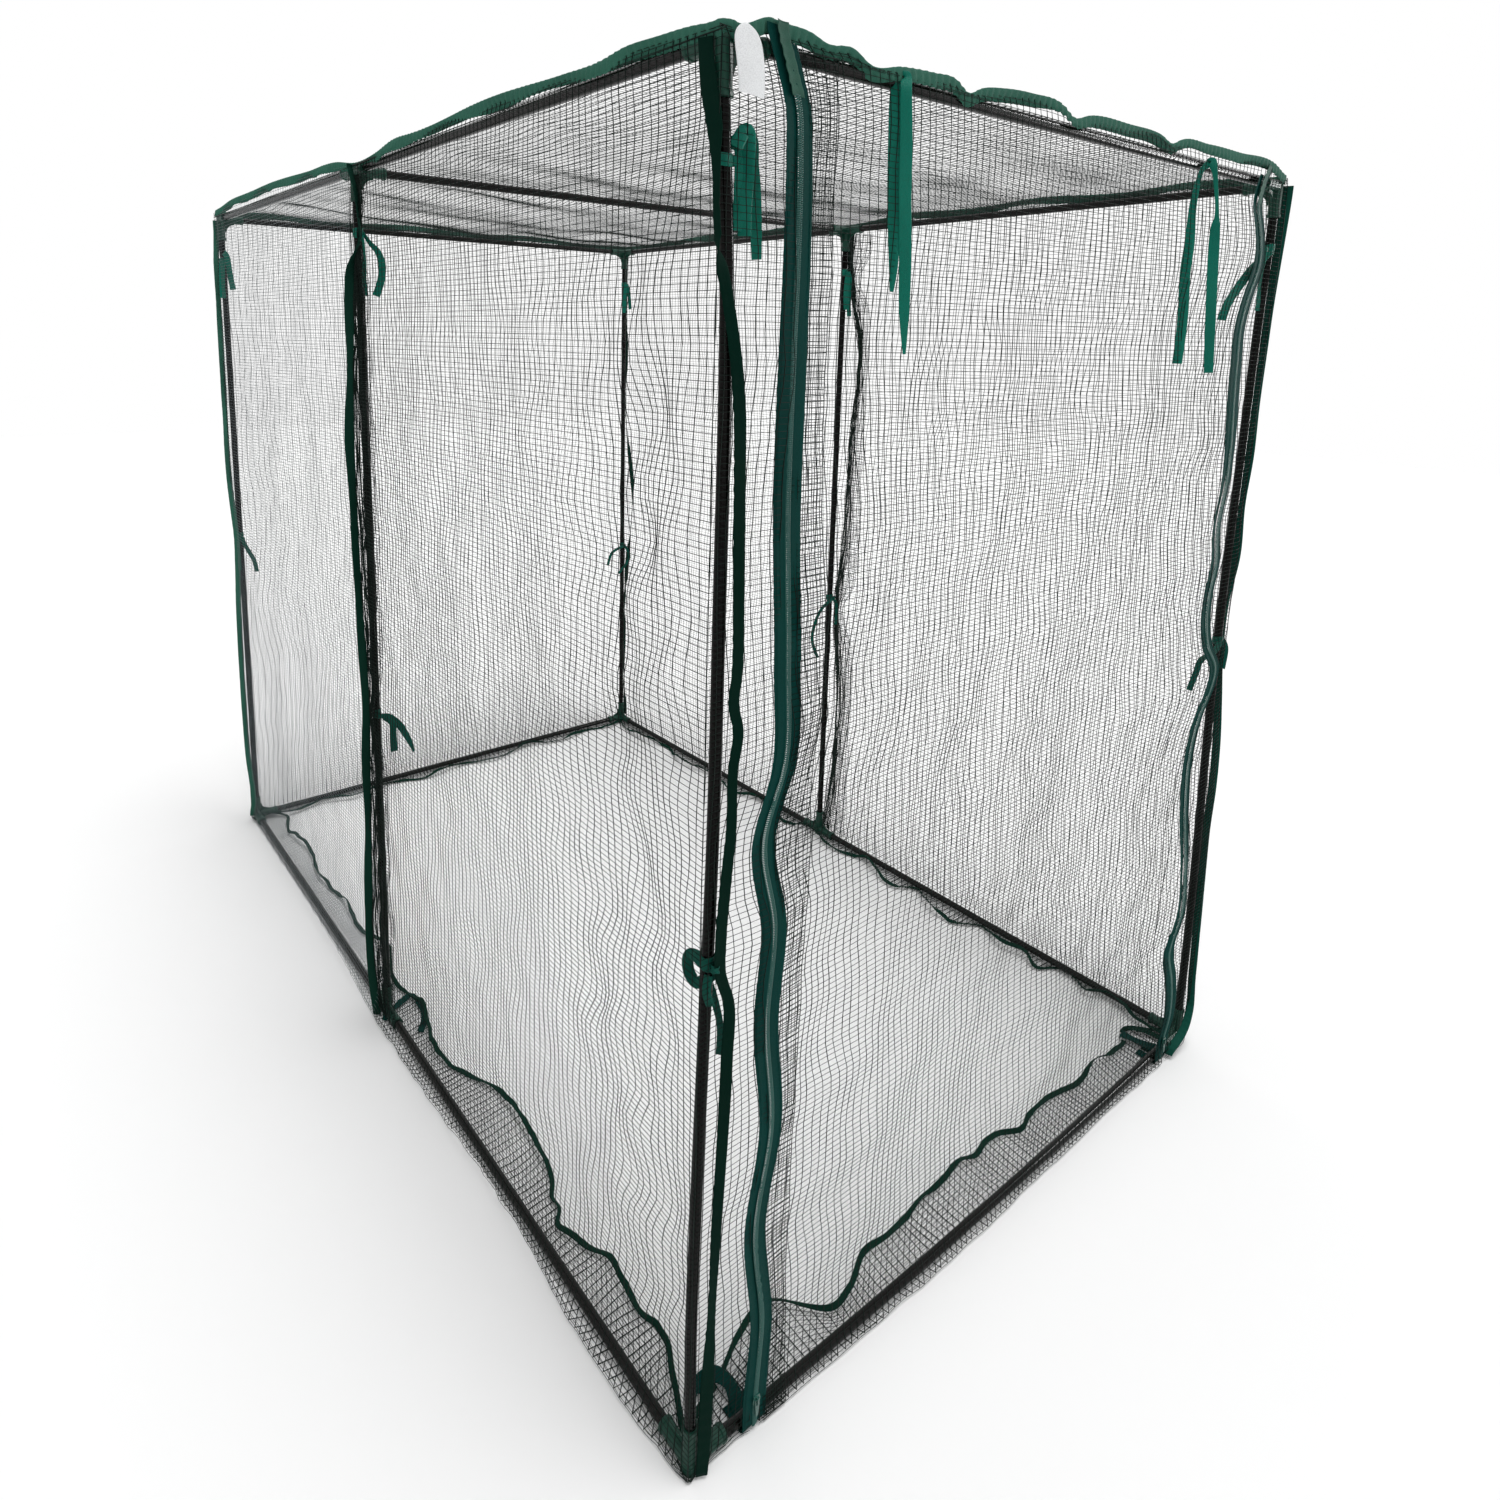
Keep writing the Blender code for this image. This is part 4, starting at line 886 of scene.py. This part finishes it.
def front_right_binding():
    """It shows its face to the photographed side all the way up."""
    z = np.concatenate([np.linspace(0.01, 0.12, 60), np.linspace(0.128, 1.816, 220)])
    x = smooth_mm({
        10: 606, 26: 620, 36: 644.6, 48: 664.6, 66: 686, 86: 700, 110: 704, 130: 704.5, 150: 704.5,
        1816: 704.5,
    })
    y = smooth_mm({
        10: -1120.5, 26: -1123.5, 36: -1124.5, 48: -1124, 66: -1120.5, 86: -1116.5, 120: -1113,
        198: -1110.5, 297: -1108.4, 396: -1106.1, 496: -1104.2, 597: -1106.2, 696: -1103.5, 794: -1095.8,
        870: -1089, 994: -1087.8, 1098: -1098.8, 1198: -1096.2, 1299: -1101.2, 1399: -1100.3, 1500: -1101.6,
        1601: -1102.9, 1680: -1105.5, 1739: -1107.5, 1816: -1109.5,
    })
    width = smooth_mm({
        10: 17, 55: 15.5, 100: 15, 200: 15, 400: 15, 700: 15.5, 1000: 15.5, 1300: 15.8, 1450: 16.5,
        1600: 19, 1816: 23.5,
    })
    centre = xyz(x(z), y(z), z)
    across = np.cross(unit(np.gradient(centre, axis=0)), unit(centre - VIEWPOINT))
    # Its colour is the lighter copy of the binding: painted light.
    binding("binding_front_right", centre, across, width(z), finish=LIT_SEAM_CLOTH, gather=0.0005)


def back_bindings():
    z = np.linspace(0.02, 1.811, 200)
    left = smooth_mm({
        20: 1085, 75: 1060, 210: 1095, 390: 1108, 710: 1095, 905: 1070, 1071: 1112, 1307: 1113, 1536: 1108,
        1703: 1104, 1826: 1110,
    })
    across = xyz(-0.96, 0.22 + 0.25 * ripple(205, 0.28, 9)(z, 0), 0)
    centre = xyz(-0.7015 + 0.006 * np.clip((z - 1.7) / 0.08, 0, 1), left(z) + 0.004, z)
    # The back left binding takes the same lighter copy: painted light from the left.
    binding("binding_back_left", centre, across, 0.015, finish=LIT_TOP_CLOTH, gather=0.0006)
    right = smooth_mm({20: 1100, 300: 1113, 600: 1098, 920: 1060, 1200: 1108, 1500: 1112, 1830: 1110})
    across = xyz(0.5 * ripple(206, 0.28, 9)(z, 0), 1, 0)
    binding("binding_back_right", xyz(0.7045, right(z), z), across, 0.0155, gather=0.0006)


MIDDLE_LEFT = smooth_mm({
    4: 2, 60: 15, 150: 34, 300: 24, 606: 5, 659: 2, 718: -4, 957: 14, 1212: 23.5, 1257: 24, 1590: -11,
    1640: -18, 1689: -58, 1726: -54, 1772: -50, 1808: -30, 1818: -26,
})
MIDDLE_RIGHT = smooth_mm({
    4: 0, 150: -20, 450: -34, 720: -8, 950: -28, 1250: -38, 1500: -52, 1620: -20, 1700: 0, 1826: 6,
})


def middle_bindings():
    """The seams at the middle posts stand out from the wall as bound fins."""
    z = np.linspace(0.006, 1.82, 300)
    for side, x, line, seed in (("left", -0.7, MIDDLE_LEFT, 207), ("right", 0.7, MIDDLE_RIGHT, 208)):
        rise = ease(np.clip((z - 1.6) / 0.08, 0, 1))
        lean = 0.4 + 0.22 * ripple(seed, 0.3, 9)(z, 0) - 1.25 * rise
        across = xyz(math.copysign(1, x) * np.cos(lean), np.sin(lean), 0)
        width = 0.0165 + 0.0015 * ripple(seed + 3, 0.3, 9)(z, 0)
        centre = xyz(x, line(z), z) + unit(across) * width[:, None] / 2
        binding(f"binding_middle_{side}", centre, across, width, gather=0.0006)
        gathered(side, x, line, seed)


# Shares of the way from a middle post to its seam at which the gathered wales run
GATHERED_WALES = (
    0, 0.1, 0.21, 0.32, 0.4, 0.47, 0.53, 0.58, 0.62, 0.66,
    0.69, 0.72, 0.75, 0.78, 0.81, 0.84, 0.87, 0.9, 0.93, 0.97,
)


def gathered(side, x, line, seed):
    """The loose net between a middle seam and its post, whose wales bunch up."""
    bunch = ripple(seed + 10, 0.02, 0.11)
    deep = ripple(seed + 11, 0.015, 0.16)

    def place(u, z):
        near = -0.088 + 0.045 * np.maximum(bell(z, 0.72, 0.07), bell(z, 1.68, 0.05))
        at = near + (line(z) + 0.004 - near) * u
        return xyz(x + 0.0018 * deep(u * 0.09, z), at + 0.0014 * bunch(u * 0.09, z), z)

    rng = np.random.default_rng(seed)
    cols = np.array(GATHERED_WALES)[:, None]
    soup = Soup()
    rows = stations(0.02, 1.8, 0.0072, rng, 0.0012)
    v_fine = stations(0.02, 1.8, 0.013)
    u_fine = stations(0, 1, 0.125)
    wander = 0.012 * np.sin(31 * v_fine + rng.uniform(0, math.tau, (len(cols), 1)))
    inner = np.clip(np.minimum(cols, 1 - cols) / 0.1, 0, 1)
    thick = np.where(cols > 0.5, 0.0009, 0.00062)
    add_strands(soup, place(cols + wander * inner, v_fine), thick, Y)
    slant = 0.0025 * np.sin(11 * rows)[:, None] * (u_fine - 0.5)
    add_strands(soup, place(u_fine, rows[:, None] + slant), 0.00066, Z)
    piece = soup.piece(f"net_gather_{side}", YARN, "cage", "net")
    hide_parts(f"net_{side}")
    SHEETS.append((piece, (0.1, 1.78), "gathered", [f"top_rail_{side}_front"]))


# Zips

# The way of a tape under the base rail, as y and height
UNDER_RAIL = ((-1.072, -1.088, -1.102, -1.111, -1.1148), (0.0032, 0.003, 0.003, 0.0042, 0.008))
# The ends that lie folded back on the ground inside, as points and width, in millimetres
TURNED_IN = {
    "left": ([(-590, -1108, 6), (-585, -1086, 8), (-578, -1060, 11), (-586, -1036, 13), (-606, -1030, 13),
        (-632, -1030, 8)], 23),
    "right": ([(606, -1112, 7), (600, -1092, 9), (591, -1060, 11), (585, -1026, 9)], 26),
    "right_fold": ([(648, -1085, 6), (632, -1052, 12), (612, -1022, 8)], 14),
    "middle": ([(-700, -17.5, 6), (-677, -3, 10), (-646, 15.5, 8), (-622, 22, 8), (-617, -18, 9),
        (-624, -62, 7), (-651, -100, 6)], 15),
}


def turned_in_ends():
    for name, (path, width) in TURNED_IN.items():
        t = np.linspace(0, len(path) - 1, 60)
        centre = curve(np.array(path) / 1000, t)
        across = unit(np.cross(unit(np.gradient(centre, axis=0)), Z)) + 0.25 * np.sin(t * 2.3)[:, None] * Z
        soup = Soup()
        add_band(soup, centre, across, width / 1000, 0.0012, 0.001, gather=0.0009, pitch=0.0042)
        finish = BINDING if "fold" in name else ZIP_TAPE
        soup.piece(f"tape_end_{name}", finish, "cage", "zip_tape", with_uv=True)


def zip_halves(side, line, body_sign):
    """Tapes, sewing and teeth; each tape passes under the base rail and ends on the ground inside."""
    z_all = np.linspace(0.013, TOP_AXIS + 0.0225, 250)
    tilt = ripple(300 + body_sign, 0.4, 9)(z_all, 0)
    for part, toward, high in (("cage", body_sign, 1.838), ("door", -body_sign, 1.8265)):
        keep = z_all <= high
        z = z_all[keep]
        x = line(z)
        ground = xyz(x[0], *UNDER_RAIL)
        centre = np.concatenate([ground, xyz(x, -(TAPE_BACK + TAPE_FACE) / 2, z)])
        centre[:, 0] += toward * (0.001 + TAPE_HALF / 2)
        lean = np.concatenate([np.zeros(len(ground)), 0.12 * tilt[keep]])
        name = f"zip_{part}_tape_{side}"
        width = TAPE_HALF - 0.0016
        tape = binding(name, centre, xyz(1, lean, 0), width, part, 0.001, 0.0003, ZIP_TAPE, 0.00022)
        coil_cord(f"zip_{part}_cord_{side}", x, z, toward, part)
        teeth = coil(f"zip_{part}_coil_{side}", x, z, toward, part)
        for piece in (tape, teeth):
            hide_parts(f"{'door_tape' if part == 'door' else 'zip_tape'}_{side}")


def coil_cord(name, x, z, toward, body):
    """The raised seams of sewing thread that hold a coil to its tape."""
    soup = Soup()
    for off in (0.0042, 0.0175):
        add_strands(soup, xyz(x + toward * off, -TAPE_FACE - 0.0002, z)[None], 0.0004, X, sides=4)
    soup.piece(name, ZIP_TAPE, body, "zip_tape")


# One tooth, in millimetres: distance from the zip's middle, height above the tape, and half its breadth
TOOTH = [
    (4.5, 0.1, 0.9), (4.2, 0.9, 1.05), (2.8, 1.5, 0.95), (1.4, 1.8, 0.8), (0, 1.7, 0.6), (-1.2, 1.2, 0.55),
    (-1.5, 0.3, 0.4),
]


def coil(name, x, z, toward, body):
    """The teeth of one half: flat nylon bars whose tips pass between those of the other half."""
    pitch, lowest, highest, sides = 0.0024, 0.01, 1.772, 6
    at = np.arange(lowest + (pitch / 2 if body == "door" else 0), min(z[-1], highest), pitch)[:, None]
    px = np.interp(at, z, x)
    angle = math.tau * np.arange(sides) / sides
    verts = np.stack([
        xyz(
            px + toward * off,
            -TAPE_FACE - high + 0.00055 * np.sin(angle),
            at + (half * np.cos(angle) + 0.22 * off * toward),
        )
        for off, high, half in np.array(TOOTH) / 1000
    ], 1)
    index = np.arange(verts.size // 3).reshape(verts.shape[:3])
    ends = np.concatenate([index[:, 0], index[:, -1, ::-1]])
    soup = Soup()
    if toward > 0:
        soup.add(verts, skin(index)[:, ::-1], ends)
    else:
        soup.add(verts, skin(index), ends[:, ::-1])
    return soup.piece(name, COIL, body, "zip_tape")


def zip_ends():
    """The fold of tape that closes each zip under the top seam, in a lighter copy of the zip tape's colour:
    painted light on the fold.
    """
    for side, line in (("left", LEFT_ZIP), ("right", RIGHT_ZIP)):
        z = np.linspace(1.77, 1.841, 24)
        width = 0.0215 - 0.003 * np.linspace(0, 1, len(z))
        centre = xyz(line(z), -TAPE_FACE - 0.0032, z)
        binding(f"zip_end_{side}", centre, (1, 0.15, 0), width, "cage", 0.0012, 0.0022, LIT_ZIP_END, 0.0005)


# Ribbons

# The width of the ribbon
TAIL = 0.0152
UPPER_KNOT = TOP_AXIS - 0.118
# Each ribbon with what it rests on
RIBBONS = []


def ribbon(soup, points, twist=0, width=TAIL):
    """A ribbon through a few points; it shows its face to the photographed side, less where twist is set."""
    t = np.linspace(0, len(points) - 1, (len(points) - 1) * 8 + 1)
    centre = curve(points, t)
    run = unit(np.gradient(centre, axis=0))
    flat = unit(np.cross(run, unit(centre.mean(0) - VIEWPOINT)))
    turn = (twist + 0.18 * np.sin(2.1 * t + len(points)))[:, None]
    if np.ndim(width):
        width = smooth(enumerate(width))(t)
    add_band(soup, centre, np.cos(turn) * flat + np.sin(turn) * np.cross(run, flat), width, 0.0006)


# The door's ties: place across, (place across, height) down the front and down the back, and the
# width's shares along both
DOOR_TIES = {
    "left": (
        -417.7,
        [(-421.9, 1802), (-417.3, 1751), (-412.7, 1679), (-406.5, 1609), (-403.1, 1549), (-398.3, 1495)],
        [(-425.1, 1804), (-424.2, 1752), (-419.9, 1680), (-413.9, 1609), (-414.4, 1571)],
        (0.9, 1, 1, 1, 0.85, 0.25),
        (1, 1, 1, 0.8, 0.3),
    ),
    "right": (
        377.5,
        [(380, 1800), (396.5, 1760), (403.6, 1732), (402.5, 1712), (407.3, 1662), (421.9, 1561),
         (437, 1466)],
        [(356, 1802), (342, 1760), (339.1, 1732), (341.1, 1683), (337, 1633), (344.9, 1559), (342.2, 1482)],
        (0.55, 0.4, 0.5, 1, 1.15, 1.1, 1),
        (0.5, 0.7, 0.8, 1.05, 1.1, 1.1, 1),
    ),
}


def door_ties():
    for side, (x, front, back, front_wide, back_wide) in DOOR_TIES.items():
        points = [(a, -7.5, b) for a, b in front[::-1]]
        points += [(x, -3, 1817.5), (x, 0.4, 1820.5), (x, 3, 1817.5)]
        points += [(a, 4.5, b) for a, b in back]
        width = np.array([*front_wide[::-1], 0.9, 0.9, 0.9, *back_wide]) * TAIL
        soup = Soup()
        ribbon(soup, np.array(points) / 1000 - Y * FRONT_FACE, 0, width)
        piece = soup.piece(f"ribbon_door_{side}", RIBBON, "door", "ribbon", with_uv=True)
        RIBBONS.append((piece, "net_front_top"))
        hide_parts(f"door_tie_{side}")


def add_loop(soup, centre, radius, width, tilt):
    """A ribbon ring round a post."""
    angle = np.linspace(0, math.tau, 33)
    ring = xyz(np.cos(angle) * radius, np.sin(angle) * radius, tilt * np.sin(angle) * radius)
    add_band(soup, centre + ring, Z, width, 0.0006)


def add_knot(soup, knot, toward):
    """Two crossed folds of ribbon pulled tight."""
    sideways = np.array((-toward[1], toward[0], 0))
    angle = np.linspace(0, math.tau, 25)
    for turn, wide in ((0.5, 0.0095), (-0.8, 0.008)):
        path = (
            knot
            + np.outer(np.cos(angle) * 0.0055, toward)
            + np.outer(np.sin(angle) * 0.0045, sideways)
            + np.outer(np.sin(angle) * 0.002 * turn, Z)
        )
        add_band(soup, path, Z + turn * 0.6 * toward, wide, 0.0009)


def post_tie(place, post, toward, tails, node=None, wraps=2, low=False):
    """A ribbon wound round a post and knotted beside it, with its tails."""
    toward = np.array((*toward, 0.0))
    soup = Soup()
    for i in range(wraps):
        radius = TUBE_RADIUS + 0.0008 * (i + 1)
        add_loop(soup, post + Z * (0.004 * i), radius, 0.0135 - 0.002 * i, 0.2 - 0.42 * i)
    add_knot(soup, post + toward * (TUBE_RADIUS + 0.0065), toward)
    for path, twist, *width in tails:
        ribbon(soup, np.array(path) / 1000 + post, twist, np.array(width[0]) / 1000 if width else TAIL)
    name, finish = (f"ribbon_low_{place}", SHADED_RIBBON) if low else (f"ribbon_{place}", RIBBON)
    piece = soup.piece(name, finish, "cage", "ribbon", with_uv=True)
    RIBBONS.append((piece, f"post_{place}"))
    if node:
        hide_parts(node)


# Tails and loops of the post ties, in millimetres: each is a path from the post at the knot's height, its
# twist and its width, where that isn't a full ribbon's
HANG = [(0, -16, -2), (3, -20, -18), (4, -20, -50), (2, -20, -85), (6, -20, -118)]
DROP = [(-4, -16, 4), (-10, -20, -10), (-12, -20, -60), (-11, -20, -100)]
# Signs of the post's x and y, the way from the post to the knot, turns round the post, and the tails
UPPER_TIES = {
    "front_left": (-1, -1, (1, 0), 1, [
        ([(8, -9, 12), (16, -11, 28), (24.5, -10, 27), (26.5, -8, 4), (26.2, -7, -20), (25.6, -6, -48),
            (25.5, -6, -77)], 0),
        ([(12, -4, 18), (28, 1, 33), (40, 2, 24), (43.3, 2, 2), (44.3, 0, -18), (47, 0, -56),
            (49.8, 0, -100)], 0.5, 13.5),
        ([(8, -4, 10), (16, -4, 22), (20, -3, 10), (21, -3, -20), (21, -3, -55), (20, -3, -72)], -0.3),
    ]),
    "front_right": (1, -1, (-1, 0), 2, [
        ([(-14, -6, -4), (-40, -6, -20), (-71, -4, -38), (-109, -2, -68), (-150, -1, -104), (-167, 0, -136)],
            0.2),
        ([(-12, -4, -4), (-30, -6, -20), (-40, -7, -60), (-36, -7, -115)], 0.9, 12),
    ]),
    "middle_left": (-1, 0, (0, -1), 2, [
        ([(4, -16, 2), (16, -20, -17), (31, -20, -33), (38, -20, -57), (35, -20, -86), (24, -20, -117)],
            0.1, (6, 9, 12, 14.5, 14.8, 14.8)),
        (HANG, 1, 12),
    ]),
    "middle_right": (1, 0, (0, -1), 2, [
        ([(0, -16, 0), (-8, -20, -20), (-10, -20, -60), (-6, -20, -100)], 0),
        (HANG, 0, 12),
    ]),
    "back_left": (-1, 1, (0, -1), 2, [
        ([(-2, -20, 26), (6, -22, 12), (11, -22, -35), (16.7, -22, -76)], 0),
        ([(-6, -18, 6), (-9, -22, -20), (-11.4, -22, -63), (-10.9, -22, -100)], 0.2),
    ]),
    "back_right": (1, 1, (0, -1), 2, [
        (DROP, 0),
        ([(0, -16, 4), (4, -20, -12), (10, -20, -45), (14, -20, -85)], 0, 12),
    ]),
}
# Signs of the post's x and y, the knot's height, the way to the knot, and the tails
LOWER_TIES = {
    "front_left": (-1, -1, 757, (0, -1), [
        ([(6, -12, -2), (-9, -5, 6), (-10, 10, 7), (-10, 23, 1), (-10, 26, -12), (-10, 20, -25),
            (-9, 5, -27), (4, -10, -10)], 0.1, 14.5),
        ([(-6, -10, -10), (-10, -12, -30), (-3, -12, -52)], 0.3, 11),
        ([(6, 4, -30), (18, 4, -66), (26.5, 3, -104), (26.2, 3, -143)], 0.3, 10),
    ]),
    "front_right": (1, -1, 915, (1, 0), [
        ([(-10, -8, 0), (-42, -14, -12), (-97, -13, -20), (-108, -11, -44), (-126, -9, -78)], 0.2, 11),
        ([(10, -6, 0), (18, -10, -20), (12, -10, -60)], 0, 12),
    ]),
    "middle_left": (-1, 0, 714, (0, -1), [
        ([(4, -16, -2), (20, -20, -6), (42, -20, -30), (63, -20, -72), (71, -20, -97)],
            0.1, (10, 14, 15, 11, 4)),
        ([(10, -16, -4), (26, -20, -20), (27, -20, -50), (28, -20, -85)], 0, 14.5),
    ]),
    "middle_right": (1, 0, 757, (0, -1), [
        ([(-10, -20, 0), (-50, -20, -20), (-75, -20, -55), (-87, -20, -110), (-60, -20, -170)], 0.2, 9),
        ([(4, -16, -4), (12, -20, -30), (10, -20, -80)], 0, 10),
    ]),
    "back_left": (-1, 1, 905, (0, -1), [
        ([(0, -20, 0), (6, -20, -22), (18, -20, -48), (30, -20, -75), (36, -20, -110)], 0.2, 12),
        (DROP, 0, 10),
    ]),
    "back_right": (1, 1, 715, (0, -1), [
        ([(-10, -20, 0), (-60, -20, -20), (-78, -20, -65)], 0.1, 10),
        ([(0, -20, -2), (20, -20, -50), (-30, -20, -105)], 0.3, 10),
    ]),
}


def post_ties():
    for place, (i, j, toward, wraps, tails) in UPPER_TIES.items():
        at = post_bow(place, UPPER_KNOT) + (i * HALF_WIDTH, j * HALF_LENGTH, UPPER_KNOT)
        post_tie(place, at, toward, tails, f"post_tie_{place}", wraps)
    for place, (i, j, z, toward, tails) in LOWER_TIES.items():
        at = post_bow(place, z / 1000) + (i * HALF_WIDTH, j * HALF_LENGTH, z / 1000)
        post_tie(place, at, toward, tails, low=True)


def blank_label():
    """A plain sewn tag, a little curled, hung from the top seam beside the near post."""
    wide = 0.035
    low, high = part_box("label")[:2]
    t = np.linspace(0, 1, 26)
    z = np.linspace(high.z - 0.016, low.z - 0.009, 26)
    x = (low.x + high.x) / 2 - 0.01 + 0.007 * t
    y = -FRONT_FACE - 0.0048 - 0.006 * np.sin(t * 2.2)
    width = wide - 0.027 * np.exp(-t / 0.11)
    soup = Soup()
    add_band(soup, xyz(x, y, z), xyz(1, -0.22 + 0.2 * t, 0.05 - 0.12 * t), width, 0.0007, crown=0.0014)
    piece = soup.piece("sewn_label", LABEL, "cage", "label", with_uv=True)
    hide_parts("label")
    area = half_surface(piece)


def declare_cloth():
    """Works out the cloth area of each net, no less than three tenths of the size it was cut to, and the
    length of each ribbon; nothing is kept.
    """
    for piece, flat, held, rests in SHEETS:
        area = max(0.3 * flat[0] * flat[1], half_surface(piece))
    for piece, post in RIBBONS:
        half_surface(piece) / TAIL


def dress_nodes():
    """Finer finishes for the CAD nodes that stay."""
    for name, node in nodes.items():
        if name.startswith(("base_corner", "top_corner", "base_middle", "top_middle")):
            finish = SOCKET
        elif name.startswith(("zip_slider", "zip_pull")):
            finish = SLIDER
        else:
            continue
        node.data.materials.clear()
        node.data.materials.append(finish)
        node.data.shade_smooth()
        node.data.set_sharp_from_angle(angle=math.radians(38))


def add_lamp(name, kind, energy, **settings):
    data = bpy.data.lights.new(name, kind)
    data.energy = energy
    for key, value in settings.items():
        setattr(data, key, value)
    lamp = bpy.data.objects.new(name, data)
    bpy.context.scene.collection.objects.link(lamp)
    return lamp


def add_stage():
    """The floor, the white background, which lights more softly than it shows, and two lamps."""
    mesh = bpy.data.meshes.new("floor")
    corners = [(-14, -14, 0), (14, -14, 0), (14, 14, 0), (-14, 14, 0)]
    mesh.from_pydata(corners, [], [(0, 1, 2, 3)])
    floor = bpy.data.objects.new("floor", mesh)
    bpy.context.scene.collection.objects.link(floor)
    white = bpy.data.materials.new("floor_white")
    white.use_nodes = True
    tree = white.node_tree
    seen = add_node(tree, "LightPath").outputs["Is Camera Ray"]
    glow = add_node(tree, "Math", "MULTIPLY", _0=seen, _1=0.04)
    feed(tree, tree.nodes["Principled BSDF"], {
        "Base Color": (0.93, 0.93, 0.93, 1), "Roughness": 0.9, "Specular IOR Level": 0.1,
        "Emission Color": (1, 1, 1, 1), "Emission Strength": glow.outputs[0],
    })
    mesh.materials.append(white)

    world = bpy.data.worlds.new("studio")
    bpy.context.scene.world = world
    world.use_nodes = True
    tree = world.node_tree
    tree.nodes.clear()
    path = add_node(tree, "LightPath")
    either = path.outputs["Is Camera Ray"]
    for ray in ("Is Glossy Ray", "Is Transmission Ray"):
        either = add_node(tree, "Math", "MAXIMUM", _0=either, _1=path.outputs[ray]).outputs[0]
    seen = add_node(tree, "Background", Color=(1, 1, 1, 1))
    light = add_node(tree, "Background", Color=(1, 1, 1, 1), Strength=0.55)
    mix = add_node(tree, "MixShader", Fac=either, _1=light.outputs[0], _2=seen.outputs[0])
    add_node(tree, "OutputWorld", Surface=mix.outputs[0])

    sun = add_lamp("sky_panel", "SUN", 1.75, angle=math.radians(30))
    sun.rotation_euler = Vector((0.12, -0.34, 1.9)).to_track_quat("Z", "Y").to_euler()
    strip = add_lamp("strip_panel", "AREA", 150, shape="RECTANGLE", size=0.22, size_y=3.4)
    strip.visible_diffuse = False
    strip.location = (3.95, -2.95, 2.2)
    strip.rotation_euler = (strip.location - Vector((-0.6, -1, 1.4))).to_track_quat("Z", "Y").to_euler()


add_camera()
add_tubes()
side_nets()
back_net()
front_nets()
roof_net()
top_binding()
front_left_binding()
front_right_binding()
back_bindings()
middle_bindings()
hems()
zip_halves("left", LEFT_ZIP, -1)
zip_halves("right", RIGHT_ZIP, 1)
turned_in_ends()
zip_ends()
door_ties()
post_ties()
blank_label()
declare_cloth()
dress_nodes()
add_stage()
bpy.context.scene.view_settings.view_transform = "Standard"
